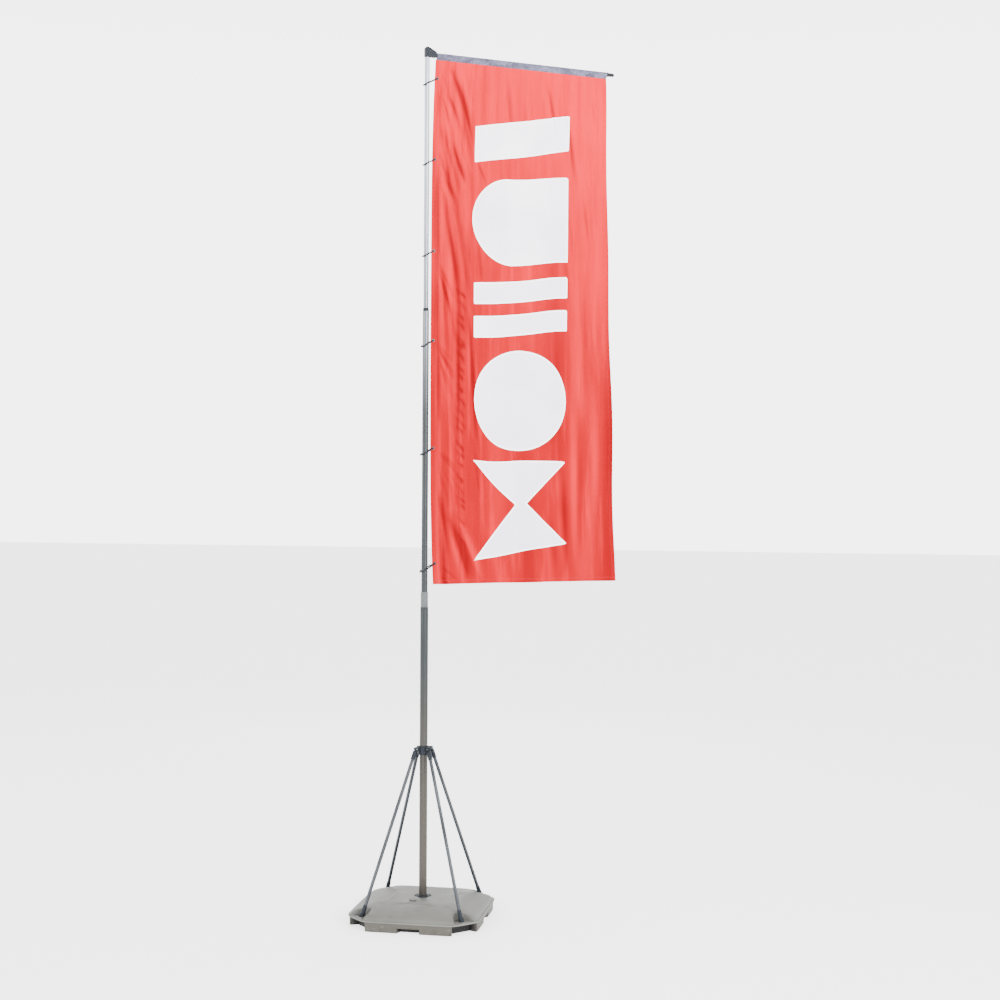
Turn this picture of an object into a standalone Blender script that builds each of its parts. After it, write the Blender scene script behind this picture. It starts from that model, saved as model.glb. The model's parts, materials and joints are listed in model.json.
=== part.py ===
"""A rectangular banner on a telescopic mast, held up by a square water tank and four stays.

Metres, +Z up. The origin is on the mast's axis, on the ground. The tank's sides face X and Y,
and the arm with its banner is turned by HEAD_YAW from +X towards +Y.
"""

from math import acos, atan2, cos, hypot, pi, radians, sin, sqrt, tan

import bmesh
import bpy
import numpy as np
from mathutils import Vector

GAP = 0.0003  # between two pieces that touch
SLIDE_FIT = 0.0004  # between a tube and the ring or bush that slides on it
SIDES = 20  # of a round piece
SMALL_SIDES = 10  # of a small round piece

# Tank
TANK_HALF = 0.380  # middle to side, over the lip
TANK_DIAGONAL = 0.452  # middle to the cut corner, over the lip
TANK_HEIGHT = 0.124
TANK_ROUND = 0.060  # plan radius of its eight corners
TANK_WALL = 0.0045
LIP_TOP = 0.0635
LIP_THICKNESS = 0.009
LIP_REACH = 0.008  # how far the lip stands out from the body
WEB_THICKNESS = 2 * TANK_WALL - 0.001  # two walls pressed together
WEB_TOP = LIP_TOP - 0.0007
SCOOP_RADIUS = 0.060  # recess above each corner web
VOID_INSET = 0.062  # how far the space below each web goes in from the cut corner
VOID_HALF = 0.070
# Domed top: how far in from the lip, and what share of its rise above the lip is reached there
DOME = ((0.010, 0.20), (0.035, 0.40), (0.080, 0.64), (0.140, 0.86), (0.205, 1.0))
DOME_SPREAD = 1.15  # how much faster the cut corners go in than the sides
NOTCH_WIDTH = 0.112  # finger notch in the bottom edge of each side
NOTCH_DEPTH = 0.050
NOTCH_HEIGHT = 0.028
WATER_LEVEL = 0.100
FILL_X, FILL_Y = -0.030, -0.116
FILL_RADIUS = 0.0175
CAP_RADIUS = 0.0215
CAP_HEIGHT = 0.007
GASKET_THICKNESS = 0.0018
RECESS_RADIUS = 0.0475  # shallow dish round the mast
RECESS_DEPTH = 0.010
SOCKET_WALL = 0.0065
SOCKET_FLOOR = 0.012

# Mast tubes: outer radius and wall
LOWER_RADIUS = 0.023
MIDDLE_RADIUS = 0.018
UPPER_RADIUS = 0.014
TUBE_WALL = 0.0015
LOWER_TOP = 1.785
MIDDLE_TOP = 3.492
UPPER_TOP = 4.945
LOWER_OVERLAP = 0.133  # length of the middle tube inside the lower one
UPPER_OVERLAP = 0.140
BUSH_LENGTH = 0.050
BUSH_FLOOR = 0.012
PLUG_LENGTH = 0.030
COLLET_WALL = 0.0010
NUT_WALL = 0.00135
LOWER_NUT_LENGTH = 0.092
UPPER_NUT_LENGTH = 0.0165
SHOULDER = 0.003  # thickness of the rim that sits on a tube's end

# Stays
HUB_TOP = 0.990
HUB_LENGTH = 0.050
HUB_RADIUS = LOWER_RADIUS + 0.008
PIN_RADIUS = 0.0025
PIN_REACH = HUB_RADIUS + 0.021  # mast axis to pin
PIN_HEIGHT = 0.975
FORK_GAP = 0.009
FORK_PLATE = 0.005
FORK_ROUND = 0.010
STEP_IN = 0.0004  # how much thinner a web is than the round end it runs into
FOOT_REACH = 0.404  # mast axis to the middle of a foot
ROD_RADIUS = 0.0098
ROD_WALL = 0.0012
FITTING_RADIUS = 0.0125
FITTING_LENGTH = 0.050
FOOT_RADIUS = 0.016
SCREW_HEIGHT = 0.965
KNOB_RADIUS = 0.013

# Head and arm
HEAD_YAW = radians(33)
SPIGOT_RADIUS = 0.008
SPIGOT_HEIGHT = 0.036
ELBOW_HEIGHT = 0.056
ELBOW_HALF_WIDTH = 0.015
ELBOW_BACK = 0.0145
ELBOW_REACH = 0.055
ARM_RADIUS = 0.010
ARM_WALL = 0.0015
ARM_DROP = 0.042  # top of the elbow to the arm's axis
ARM_END = 1.150
ARM_SEAT = 0.020  # where the arm starts inside the elbow
CAP_OVERLAP = 0.004
ARM_CAP_END = 1.195

# Banner
POCKET_START = 0.060
POCKET_END = 1.142
POCKET_WIDTH = 0.0256
POCKET_DROP = 0.0265  # arm axis to the seam below
FABRIC = 0.001
BANNER_DROP = 3.016
EDGE_NEAR = 0.030  # mast axis to the banner's edge, halfway down
EDGE_FAR = 0.052  # the same at its top and bottom
TOP_RIGHT = 1.142
BOTTOM_RIGHT = 1.216
TAPE_WIDTH = 0.030
TAPE_THICKNESS = 0.001
WAVE_HEIGHT = 0.012
EYELET_INSET = 0.016
EYELET_HOLE = 0.0045
EYELET_BARREL = 0.0061
EYELET_RIM = 0.0095
EYELET_PLATE = 0.0008
RING_HEIGHTS = (4.830, 4.365, 3.840, 3.325, 2.705, 2.040)
WIDE_RINGS_FROM = 3  # these rings pass over the lower tube as the mast goes down
RING_ROD = 0.003
RING_FIT = 0.0012
RING_TURN = 0.0075  # radius of the ring's turn through its eyelet
RING_SLOPE = tan(radians(28))


def linear(red, green, blue):
    """A screen colour, 0 to 255, as the linear values that a shader takes."""
    return tuple((c / 255) ** 2.2 for c in (red, green, blue)) + (1.0,)


def material(name, colour, roughness, metallic=0.0):
    made = bpy.data.materials.new(name)
    made.use_nodes = True
    shader = made.node_tree.nodes["Principled BSDF"]
    shader.inputs["Base Color"].default_value = linear(*colour)
    shader.inputs["Roughness"].default_value = roughness
    shader.inputs["Metallic"].default_value = metallic
    return made


def add(name, vertices, faces, finish, parent=None, location=(0, 0, 0)):
    """An object from vertices and faces, welded, with its faces turned outwards."""
    mesh = bpy.data.meshes.new(name)
    mesh.from_pydata([tuple(map(float, v)) for v in vertices], [], faces)
    shell = bmesh.new()
    shell.from_mesh(mesh)
    bmesh.ops.remove_doubles(shell, verts=shell.verts, dist=1e-7)
    bmesh.ops.recalc_face_normals(shell, faces=shell.faces)
    shell.to_mesh(mesh)
    shell.free()
    mesh.shade_smooth()
    mesh.set_sharp_from_angle(angle=radians(35))
    made = bpy.data.objects.new(name, mesh)
    bpy.context.scene.collection.objects.link(made)
    made.data.materials.append(finish)
    made.parent = parent
    made.location = location
    return made


def empty(name, location, turn=0.0, parent=None):
    made = bpy.data.objects.new(name, None)
    bpy.context.scene.collection.objects.link(made)
    made.location = location
    made.rotation_euler = (0, 0, turn)
    made.parent = parent
    return made


def bridge(loops, closed_ways, caps=False):
    """Quads between rings of equally many points. closed_ways joins the last ring to the first."""
    count, size = len(loops), len(loops[0])
    faces = []
    for i in range(count if closed_ways else count - 1):
        a, b = i * size, (i + 1) % count * size
        faces += [(a + j, a + (j + 1) % size, b + (j + 1) % size, b + j) for j in range(size)]
    if caps:
        faces += [tuple(range(size)), tuple((count - 1) * size + j for j in range(size))]
    return [point for loop in loops for point in loop], faces


def turned(name, profile, finish, parent=None, location=(0, 0, 0), sides=SIDES, axis=(0, 0, 1)):
    """A body turned from (radius, height) points. A profile whose ends lie on the axis is solid;
    any other is a closed outline that goes round the axis."""
    solid = profile[0][0] == 0 and profile[-1][0] == 0
    inner = profile[1:-1] if solid else profile
    angles = [2 * pi * k / sides for k in range(sides)]
    loops = [[(r * cos(a), r * sin(a), h) for a in angles] for r, h in inner]
    vertices, faces = bridge(loops, closed_ways=not solid, caps=solid)
    turn = Vector((0, 0, 1)).rotation_difference(Vector(axis)).to_matrix()
    vertices = [turn @ Vector(v) for v in vertices]
    return add(name, vertices, faces, finish, parent, location)


def pipe(inner, outer, low, high):
    """Outline of a plain tube."""
    return [(inner, low), (outer, low), (outer, high), (inner, high)]


def rod(radius, low, high):
    return [(0, low), (radius, low), (radius, high), (0, high)]


def block(name, low, high, finish, parent=None, location=(0, 0, 0), turn=0.0):
    corners = [(x, y, z) for z in (low[2], high[2]) for x, y in
               ((low[0], low[1]), (high[0], low[1]), (high[0], high[1]), (low[0], high[1]))]
    faces = [(0, 1, 2, 3), (4, 5, 6, 7), (0, 1, 5, 4), (1, 2, 6, 5), (2, 3, 7, 6), (3, 0, 4, 7)]
    made = add(name, corners, faces, finish, parent, location)
    made.rotation_euler = (0, 0, turn)
    return made


def hidden(helper):
    helper.hide_render = True
    helper.display_type = "WIRE"
    return helper


def boolean(target, helper, operation):
    step = target.modifiers.new(helper.name, "BOOLEAN")
    step.operation = operation
    step.object = hidden(helper)
    step.solver = "EXACT"


def cut(target, *helpers):
    for helper in helpers:
        boolean(target, helper, "DIFFERENCE")


def unite(target, *helpers):
    for helper in helpers:
        boolean(target, helper, "UNION")


# ---------------------------------------------------------------- tank


def octagon(half, diagonal, radius, height, steps=2):
    """Plan outline of a square with cut corners: its corners are arcs of the given radius."""
    near, across = half - radius, (diagonal - radius) * sqrt(2) - (half - radius)
    quarter = []
    for centre, start in (((near, across), 0), ((across, near), 45)):
        for k in range(steps + 1):
            angle = radians(start + 45 * k / steps)
            quarter.append((centre[0] + radius * cos(angle), centre[1] + radius * sin(angle)))
    points = []
    for c, s in ((1, 0), (0, 1), (-1, 0), (0, -1)):
        points += [(c * x - s * y, s * x + c * y, height) for x, y in quarter]
    return points


def tank_form(name, finish, shrink, top=None):
    """The tank's outer form, or with shrink the same form that much further in all round."""
    body = LIP_REACH + shrink
    levels = [(shrink, body + 0.008, 0), (0.010 + shrink, body, 0)]
    if shrink == 0:
        low = LIP_TOP - LIP_THICKNESS
        levels += [(low, body, 0), (low + 0.001, 0.001, 0), (low + 0.0025, 0, 0), (LIP_TOP - 0.002, 0, 0),
                   (LIP_TOP, 0.002, 0)]
    edge = body + 0.002
    levels.append((LIP_TOP, edge, 0))
    rise = TANK_HEIGHT - LIP_TOP - shrink
    levels += [(LIP_TOP + rise * share, edge, inset) for inset, share in DOME]
    loops = []
    for height, inset, further in levels:
        radius = max(TANK_ROUND - inset - further, 0.012)
        loops.append(octagon(TANK_HALF - inset - further, TANK_DIAGONAL - inset - DOME_SPREAD * further,
                             radius, height))
    form = add(name, *bridge(loops, closed_ways=False, caps=True), finish)
    for k in range(4):
        turn = radians(45 + 90 * k)
        along = Vector((cos(turn), sin(turn), 0))
        scoop_floor = WEB_TOP - shrink
        scoop = turned(f"{name}_scoop_{k}", rod(SCOOP_RADIUS + shrink, scoop_floor, TANK_HEIGHT + 0.05),
                       finish, location=along * (FOOT_REACH + 0.008))
        inner = TANK_DIAGONAL - VOID_INSET - shrink
        roof = WEB_TOP - WEB_THICKNESS + shrink
        void = block(f"{name}_void_{k}", (inner, -VOID_HALF - shrink, -0.05),
                     (TANK_DIAGONAL + 0.05, VOID_HALF + shrink, roof), finish, turn=turn)
        side = NOTCH_WIDTH / 2 + shrink
        notch = block(f"{name}_notch_{k}", (TANK_HALF - NOTCH_DEPTH - shrink, -side, -0.05),
                      (TANK_HALF + 0.05, side, NOTCH_HEIGHT + shrink), finish, turn=radians(90 * k))
        cut(form, scoop, void, notch)
    if shrink:
        column = turned(f"{name}_column", rod(RECESS_RADIUS + shrink, -0.05, TANK_HEIGHT + 0.05), finish)
        cut(form, column)
    if top is not None:
        reach = TANK_HALF + 0.1
        cut(form, block(f"{name}_level", (-reach, -reach, top), (reach, reach, top + 0.2), finish))
    return form


def make_tank(plastic, dark, rubber, water):
    tank = tank_form("base_tank", plastic, 0)
    recess = turned("recess_cutter", rod(RECESS_RADIUS, TANK_HEIGHT - RECESS_DEPTH, TANK_HEIGHT + 0.05),
                    plastic)
    bore = turned("bore_cutter", rod(LOWER_RADIUS + GAP + SOCKET_WALL, SOCKET_FLOOR, TANK_HEIGHT + 0.05),
                  plastic)
    neck = turned("neck_cutter", rod(FILL_RADIUS, TANK_HEIGHT - 0.015, TANK_HEIGHT + 0.05), plastic,
                  location=(FILL_X, FILL_Y, 0))
    cut(tank, tank_form("cavity_cutter", plastic, TANK_WALL), recess, bore, neck)
    tank_form("water_ballast", water, TANK_WALL + GAP, WATER_LEVEL)

    above = TANK_HEIGHT + GAP
    place = (FILL_X, FILL_Y, above)
    turned("fill_cap_gasket", pipe(FILL_RADIUS - 0.001, CAP_RADIUS - 0.001, 0, GASKET_THICKNESS),
           rubber, location=place)
    seat = GASKET_THICKNESS + GAP
    turned("fill_cap", [(0, -0.008), (FILL_RADIUS - 0.0015, -0.008), (FILL_RADIUS - 0.0015, seat),
                        (CAP_RADIUS, seat), (CAP_RADIUS, seat + 0.7 * CAP_HEIGHT),
                        (CAP_RADIUS - 0.003, seat + CAP_HEIGHT), (0, seat + CAP_HEIGHT)],
           plastic, location=place)

    inner, outer = LOWER_RADIUS + GAP, LOWER_RADIUS + SOCKET_WALL
    rim = TANK_HEIGHT - RECESS_DEPTH + GAP
    floor = SOCKET_FLOOR + GAP
    turned("socket_sleeve", [(0, floor), (outer, floor), (outer, rim), (outer + 0.011, rim),
                             (outer + 0.011, rim + 0.004), (outer + 0.001, rim + 0.007),
                             (outer - 0.001, TANK_HEIGHT + 0.006), (inner, TANK_HEIGHT + 0.006),
                             (inner, floor + 0.005), (0, floor + 0.005)], dark)


# ---------------------------------------------------------------- mast


def make_collet(name, tube_radius, sliding_radius, end, low, neck_length, finish, parent=None):
    """A collet pushed into a tube's end: a rim on the end, and a thin neck that the nut squeezes."""
    bore = sliding_radius + SLIDE_FIT
    seat = tube_radius - TUBE_WALL - GAP
    turned(name, [(bore, low), (seat, low), (seat, end + GAP),
                  (tube_radius - GAP, end + GAP), (tube_radius - GAP, end + GAP + SHOULDER),
                  (bore + COLLET_WALL, end + GAP + SHOULDER), (bore + COLLET_WALL, end + neck_length),
                  (bore, end + neck_length)], finish, parent)


def make_nut(name, sliding_radius, end, length, finish, parent=None):
    """A twist nut over the collet, with a lip that closes on the sliding tube."""
    bore = sliding_radius + SLIDE_FIT
    wide = bore + COLLET_WALL + GAP
    low = end + 2 * GAP + SHOULDER
    lip = end + length - 0.1 * length
    turned(name, [(wide, low), (wide + NUT_WALL, low), (wide + NUT_WALL, end + length - 0.0015),
                  (wide + NUT_WALL - 0.001, end + length), (bore, end + length), (bore, lip), (wide, lip)],
           finish, parent)


def make_bush(name, tube_radius, outer_bore, tube_low, finish, parent=None):
    """A guide bush round a tube's lower end, which slides in the next tube."""
    low, high = tube_low - BUSH_FLOOR, tube_low - BUSH_FLOOR + BUSH_LENGTH
    slide, seat = outer_bore - GAP, tube_radius + GAP
    turned(name, [(tube_radius - 0.006, low), (slide, low), (slide, high), (seat, high),
                  (seat, tube_low - GAP), (tube_radius - 0.006, tube_low - GAP)], finish, parent)
    return high


def make_mast(metal, dark, grey):
    lower_bore, middle_bore = LOWER_RADIUS - TUBE_WALL, MIDDLE_RADIUS - TUBE_WALL
    foot = SOCKET_FLOOR + 2 * GAP + 0.005
    flange = 0.0034
    lower_low = foot + flange + GAP
    turned("mast_tube_lower", pipe(lower_bore, LOWER_RADIUS, lower_low, LOWER_TOP), metal)
    turned("mast_foot_plug", [(0, foot), (LOWER_RADIUS, foot), (LOWER_RADIUS, foot + flange),
                              (lower_bore - GAP, foot + flange), (lower_bore - GAP, foot + PLUG_LENGTH),
                              (0, foot + PLUG_LENGTH)], dark)

    middle = empty("middle_section_axis", (0, 0, 0))
    middle_low = LOWER_TOP - LOWER_OVERLAP
    turned("mast_tube_middle", pipe(middle_bore, MIDDLE_RADIUS, middle_low, MIDDLE_TOP), metal, middle)
    bush_top = make_bush("guide_bush_middle", MIDDLE_RADIUS, lower_bore, middle_low, dark, middle)
    make_collet("clamp_insert_lower", LOWER_RADIUS, MIDDLE_RADIUS, LOWER_TOP, bush_top + GAP,
                0.8 * LOWER_NUT_LENGTH, dark)
    make_nut("lock_nut_lower", MIDDLE_RADIUS, LOWER_TOP, LOWER_NUT_LENGTH, grey)

    upper = empty("upper_section_axis", (0, 0, 0))
    upper_low = MIDDLE_TOP - UPPER_OVERLAP
    upper_bore = UPPER_RADIUS - TUBE_WALL
    turned("mast_tube_upper", pipe(upper_bore, UPPER_RADIUS, upper_low, UPPER_TOP), metal, upper)
    bush_top = make_bush("guide_bush_upper", UPPER_RADIUS, middle_bore, upper_low, dark, upper)
    make_collet("clamp_insert_upper", MIDDLE_RADIUS, UPPER_RADIUS, MIDDLE_TOP, bush_top + GAP,
                0.7 * UPPER_NUT_LENGTH, dark, middle)
    make_nut("lock_nut_upper", UPPER_RADIUS, MIDDLE_TOP, UPPER_NUT_LENGTH, dark, middle)

    rim = UPPER_TOP + GAP
    turned("head_spigot", [(0, UPPER_TOP - 0.045), (upper_bore - GAP, UPPER_TOP - 0.045),
                           (upper_bore - GAP, rim), (UPPER_RADIUS, rim), (UPPER_RADIUS, rim + SHOULDER),
                           (SPIGOT_RADIUS, rim + SHOULDER), (SPIGOT_RADIUS, rim + SPIGOT_HEIGHT),
                           (0, rim + SPIGOT_HEIGHT)], dark, upper)


# ---------------------------------------------------------------- stays


def make_hub(dark, steel):
    low = HUB_TOP - HUB_LENGTH
    hub = turned("stay_hub", [(LOWER_RADIUS + SLIDE_FIT, low), (HUB_RADIUS + 0.002, low),
                              (HUB_RADIUS + 0.003, low + 0.004), (HUB_RADIUS + 0.003, low + 0.020),
                              (HUB_RADIUS, low + 0.026), (HUB_RADIUS, HUB_TOP - 0.003),
                              (HUB_RADIUS - 0.003, HUB_TOP), (LOWER_RADIUS + SLIDE_FIT, HUB_TOP)], dark)
    for k in range(4):
        turn = radians(45 + 90 * k)
        pin_at = (PIN_REACH * cos(turn), PIN_REACH * sin(turn), PIN_HEIGHT)
        side = (-sin(turn), cos(turn), 0)
        inner, outer = FORK_GAP / 2, FORK_GAP / 2 + FORK_PLATE
        for s, (a, b) in enumerate(((inner, outer), (-outer, -inner))):
            web = FORK_ROUND - STEP_IN
            arm = block(f"hub_arm_{k}_{s}", (HUB_RADIUS - 0.004, a + STEP_IN, PIN_HEIGHT - web),
                        (PIN_REACH, b - STEP_IN, PIN_HEIGHT + web), dark, turn=turn)
            nose = turned(f"hub_nose_{k}_{s}", rod(FORK_ROUND, a, b), dark, location=pin_at,
                          sides=12, axis=side)
            unite(hub, arm, nose)
        hole = turned(f"hub_hole_{k}", rod(PIN_RADIUS + GAP, -0.03, 0.03), dark, location=pin_at,
                      sides=SMALL_SIDES, axis=side)
        cut(hub, hole)
        head = outer + GAP
        turned(f"stay_pin_{k + 1}", [(0, -head - 0.002), (0.0042, -head - 0.002), (0.0042, -head),
                                     (PIN_RADIUS, -head), (PIN_RADIUS, head), (0.0042, head),
                                     (0.0042, head + 0.002), (0, head + 0.002)],
               steel, location=pin_at, sides=SMALL_SIDES, axis=side)
    boss = turned("hub_boss", rod(0.010, LOWER_RADIUS + 0.004, HUB_RADIUS + 0.007), dark,
                  location=(0, 0, SCREW_HEIGHT), sides=16, axis=(0, 1, 0))
    thread = turned("hub_thread", rod(0.0030 + SLIDE_FIT, LOWER_RADIUS - 0.01, HUB_RADIUS + 0.03), dark,
                    location=(0, 0, SCREW_HEIGHT), sides=SMALL_SIDES, axis=(0, 1, 0))
    unite(hub, boss)
    cut(hub, thread)
    start, seat = LOWER_RADIUS + GAP, HUB_RADIUS + 0.009
    turned("hub_thumb_screw", [(0, start), (0.0030, start), (0.0030, seat), (KNOB_RADIUS - 0.003, seat),
                               (KNOB_RADIUS, seat + 0.003), (KNOB_RADIUS, seat + 0.010),
                               (KNOB_RADIUS - 0.003, seat + 0.013), (0, seat + 0.013)],
           dark, location=(0, 0, SCREW_HEIGHT), sides=16, axis=(0, 1, 0))


def make_stay(number, metal, dark):
    """A stay in its own frame: origin on its pin, x away from the mast, y along the pin."""
    turn = radians(45 + 90 * (number - 1))
    axis = empty(f"stay_axis_{number}", (PIN_REACH * cos(turn), PIN_REACH * sin(turn), PIN_HEIGHT), turn)
    out, down = FOOT_REACH - PIN_REACH, PIN_HEIGHT - WEB_TOP
    length = hypot(out, down)
    along = (out / length, 0, -down / length)
    lean = atan2(out, down)
    half = FORK_GAP / 2 - GAP
    start = FORK_ROUND + 0.002

    eye = turned(f"stay_eye_{number}",
                 [(0, start), (FITTING_RADIUS - 0.002, start), (FITTING_RADIUS, start + 0.004),
                  (FITTING_RADIUS, start + FITTING_LENGTH), (ROD_RADIUS + GAP, start + FITTING_LENGTH),
                  (ROD_RADIUS + GAP, start + 0.008), (0, start + 0.008)], dark, axis, sides=12, axis=along)
    barrel = turned(f"eye_barrel_{number}", rod(0.008, -half, half), dark, axis, sides=12, axis=(0, 1, 0))
    thin = half - STEP_IN
    neck = block(f"eye_neck_{number}", (-0.006, -thin, -start - 0.003), (0.006, thin, 0), dark, axis)
    neck.rotation_euler = (0, -lean, 0)
    hole = turned(f"eye_hole_{number}", rod(PIN_RADIUS + GAP, -0.02, 0.02), dark, axis,
                  sides=SMALL_SIDES, axis=(0, 1, 0))
    unite(eye, barrel, neck)
    cut(eye, hole)

    rod_start, rod_end = start + 0.008 + GAP, length - 0.030
    turned(f"stay_rod_{number}", pipe(ROD_RADIUS - ROD_WALL, ROD_RADIUS, rod_start, rod_end), metal, axis,
           sides=12, axis=along)

    top, low = rod_end - 0.035, length - 0.013
    foot = turned(f"stay_foot_{number}",
                  [(0, rod_end + GAP), (ROD_RADIUS + GAP, rod_end + GAP), (ROD_RADIUS + GAP, top),
                   (FITTING_RADIUS - 0.001, top), (FITTING_RADIUS + 0.001, low), (0, low)],
                  dark, axis, sides=12, axis=along)
    ground = -down + GAP
    sole = turned(f"foot_sole_{number}", [(0, ground), (FOOT_RADIUS, ground), (FOOT_RADIUS, ground + 0.004),
                                          (FITTING_RADIUS + 0.0015, ground + 0.007),
                                          (FITTING_RADIUS, ground + 0.019), (0, ground + 0.019)],
                  dark, axis, location=(out, 0, 0), sides=12)
    unite(foot, sole)


# ---------------------------------------------------------------- head and banner


def make_head(metal, dark, steel):
    """The head, in a frame turned by HEAD_YAW: x runs along the arm."""
    head = empty("head_axis", (0, 0, 0), HEAD_YAW)
    low = UPPER_TOP + 2 * GAP + SHOULDER
    high = low + ELBOW_HEIGHT
    arm_height = high - ARM_DROP
    side = [(-ELBOW_BACK, low), (ELBOW_REACH, low), (ELBOW_REACH, high - 0.026), (0.004, high),
            (-0.008, high), (-ELBOW_BACK, high - 0.010)]
    loops = [[(x, y, z) for x, z in side] for y in (-ELBOW_HALF_WIDTH, ELBOW_HALF_WIDTH)]
    elbow = add("head_elbow", *bridge(loops, closed_ways=False, caps=True), dark, head)
    bevel = elbow.modifiers.new("edges", "BEVEL")
    bevel.width = 0.004
    bevel.segments = 2
    pin_bore = turned("pin_bore", rod(SPIGOT_RADIUS + SLIDE_FIT, low - 0.01,
                                      UPPER_TOP + GAP + SPIGOT_HEIGHT + GAP), dark, head)
    arm_bore = turned("arm_bore", rod(ARM_RADIUS + GAP, ARM_SEAT, ELBOW_REACH + 0.02), dark, head,
                      location=(0, 0, arm_height), axis=(1, 0, 0))
    screw_x = (ARM_SEAT + ELBOW_REACH) / 2
    hole = turned("arm_screw_bore", rod(0.0022, low - 0.01, arm_height), dark, head,
                  location=(screw_x, 0, 0), sides=SMALL_SIDES)
    cut(elbow, pin_bore, arm_bore, hole)
    arm = turned("arm_tube", pipe(ARM_RADIUS - ARM_WALL, ARM_RADIUS, ARM_SEAT + GAP, ARM_END), metal, head,
                 location=(0, 0, arm_height), axis=(1, 0, 0))
    cut(arm, turned("arm_tube_hole", rod(0.0022, arm_height - 0.02, arm_height), dark, head,
                    location=(screw_x, 0, 0), sides=SMALL_SIDES))
    tip = arm_height - ARM_RADIUS + ARM_WALL + 0.003
    turned("arm_screw", [(0, low - 0.003), (0.004, low - 0.003), (0.004, low - GAP), (0.0019, low - GAP),
                         (0.0019, tip), (0, tip)], steel, head, location=(screw_x, 0, 0), sides=SMALL_SIDES)
    cap_start = ARM_END - CAP_OVERLAP
    turned("arm_end_cap", [(0, ARM_END + GAP), (ARM_RADIUS + GAP, ARM_END + GAP),
                           (ARM_RADIUS + GAP, cap_start), (ARM_RADIUS + 0.0024, cap_start),
                           (ARM_RADIUS + 0.0024, ARM_CAP_END - 0.003), (ARM_RADIUS - 0.001, ARM_CAP_END),
                           (0, ARM_CAP_END)], dark, head, location=(0, 0, arm_height), axis=(1, 0, 0))
    return head, arm_height


def banner_left(share):
    """The banner's edge next to the mast: pulled in halfway down, further out at both ends."""
    return EDGE_NEAR + (EDGE_FAR - EDGE_NEAR) * (2 * share - 1) ** 4


def banner_right(share):
    return TOP_RIGHT + (BOTTOM_RIGHT - TOP_RIGHT) * share


def sheet(name, columns, rows, point, thickness, finish, parent):
    """A thin closed sheet: point(i, j) is its front, and its back lies thickness behind that."""
    front = [[Vector(point(i, j)) for i in range(columns)] for j in range(rows)]
    back = Vector((0, thickness, 0))
    vertices = [p for row in front for p in row] + [p + back for row in front for p in row]
    count = columns * rows
    rim = ([(0, i) for i in range(columns - 1)] + [(j, columns - 1) for j in range(rows - 1)]
           + [(rows - 1, i) for i in range(columns - 1, 0, -1)] + [(j, 0) for j in range(rows - 1, 0, -1)])
    rim = [j * columns + i for j, i in rim]
    faces = []
    for j in range(rows - 1):
        for i in range(columns - 1):
            a = j * columns + i
            quad = (a, a + 1, a + columns + 1, a + columns)
            faces += [quad, tuple(count + v for v in quad)]
    faces += [(a, b, count + b, count + a) for a, b in zip(rim, rim[1:] + rim[:1])]
    return add(name, vertices, faces, finish, parent)


def make_banner(head, arm_height, cloth, grey_cloth, brass, plastic):
    turns = [2 * pi * k / 16 for k in range(16)]

    def pocket_loop(x, inset):
        half = POCKET_WIDTH / 2 - inset
        return [(x, half * cos(t), (half if sin(t) > 0 else POCKET_DROP - inset) * sin(t)) for t in turns]

    loops = [pocket_loop(POCKET_START, 0), pocket_loop(POCKET_END, 0), pocket_loop(POCKET_END, FABRIC),
             pocket_loop(POCKET_START, FABRIC)]
    add("banner_pocket", *bridge(loops, closed_ways=True), grey_cloth, head, (0, 0, arm_height))

    top = arm_height - POCKET_DROP - GAP
    columns, rows = 12, 16
    strip = 0.045

    def banner_point(i, j):
        share = j / (rows - 1)
        left, right = banner_left(share), banner_right(share)
        x = left if i == 0 else left + strip + (right - left - strip) * (i - 1) / (columns - 2)
        free = max(0.0, (x - left - strip) / (right - left - strip))
        wave = WAVE_HEIGHT * min(1, 4 * free) * min(1, 3 * share) * sin(2 * pi * (2.2 * free + 0.6 * share))
        return x, wave - FABRIC / 2, top - BANNER_DROP * share

    def tape_point(i, j):
        share = j / (rows - 1)
        return banner_left(share) + 0.002 + TAPE_WIDTH * i, FABRIC / 2 + GAP, top - BANNER_DROP * share

    banner = sheet("banner", columns, rows, banner_point, FABRIC, cloth, head)
    tape = sheet("leading_edge_tape", 2, rows, tape_point, TAPE_THICKNESS, grey_cloth, head)
    front = FABRIC / 2 + GAP + EYELET_PLATE
    behind = FABRIC / 2 + 2 * GAP + TAPE_THICKNESS + EYELET_PLATE
    for k, height in enumerate(RING_HEIGHTS):
        x = banner_left((top - height) / BANNER_DROP) + EYELET_INSET
        place = (x, 0, height)
        cut(banner, turned(f"banner_hole_{k}", rod(EYELET_BARREL + GAP, -0.01, 0.01), cloth, head,
                           location=place, sides=SMALL_SIDES, axis=(0, 1, 0)))
        cut(tape, turned(f"tape_hole_{k}", rod(EYELET_BARREL + GAP, -0.01, 0.01), cloth, head,
                         location=place, sides=SMALL_SIDES, axis=(0, 1, 0)))
        turned(f"grommet_{k + 1}",
               [(EYELET_HOLE, -front), (EYELET_RIM, -front), (EYELET_RIM, EYELET_PLATE - front),
                (EYELET_BARREL, EYELET_PLATE - front), (EYELET_BARREL, behind - EYELET_PLATE),
                (EYELET_RIM, behind - EYELET_PLATE), (EYELET_RIM, behind), (EYELET_HOLE, behind)],
               brass, head, location=place, sides=SMALL_SIDES, axis=(0, 1, 0))
        make_ring(k, x, height, head, plastic)


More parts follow.
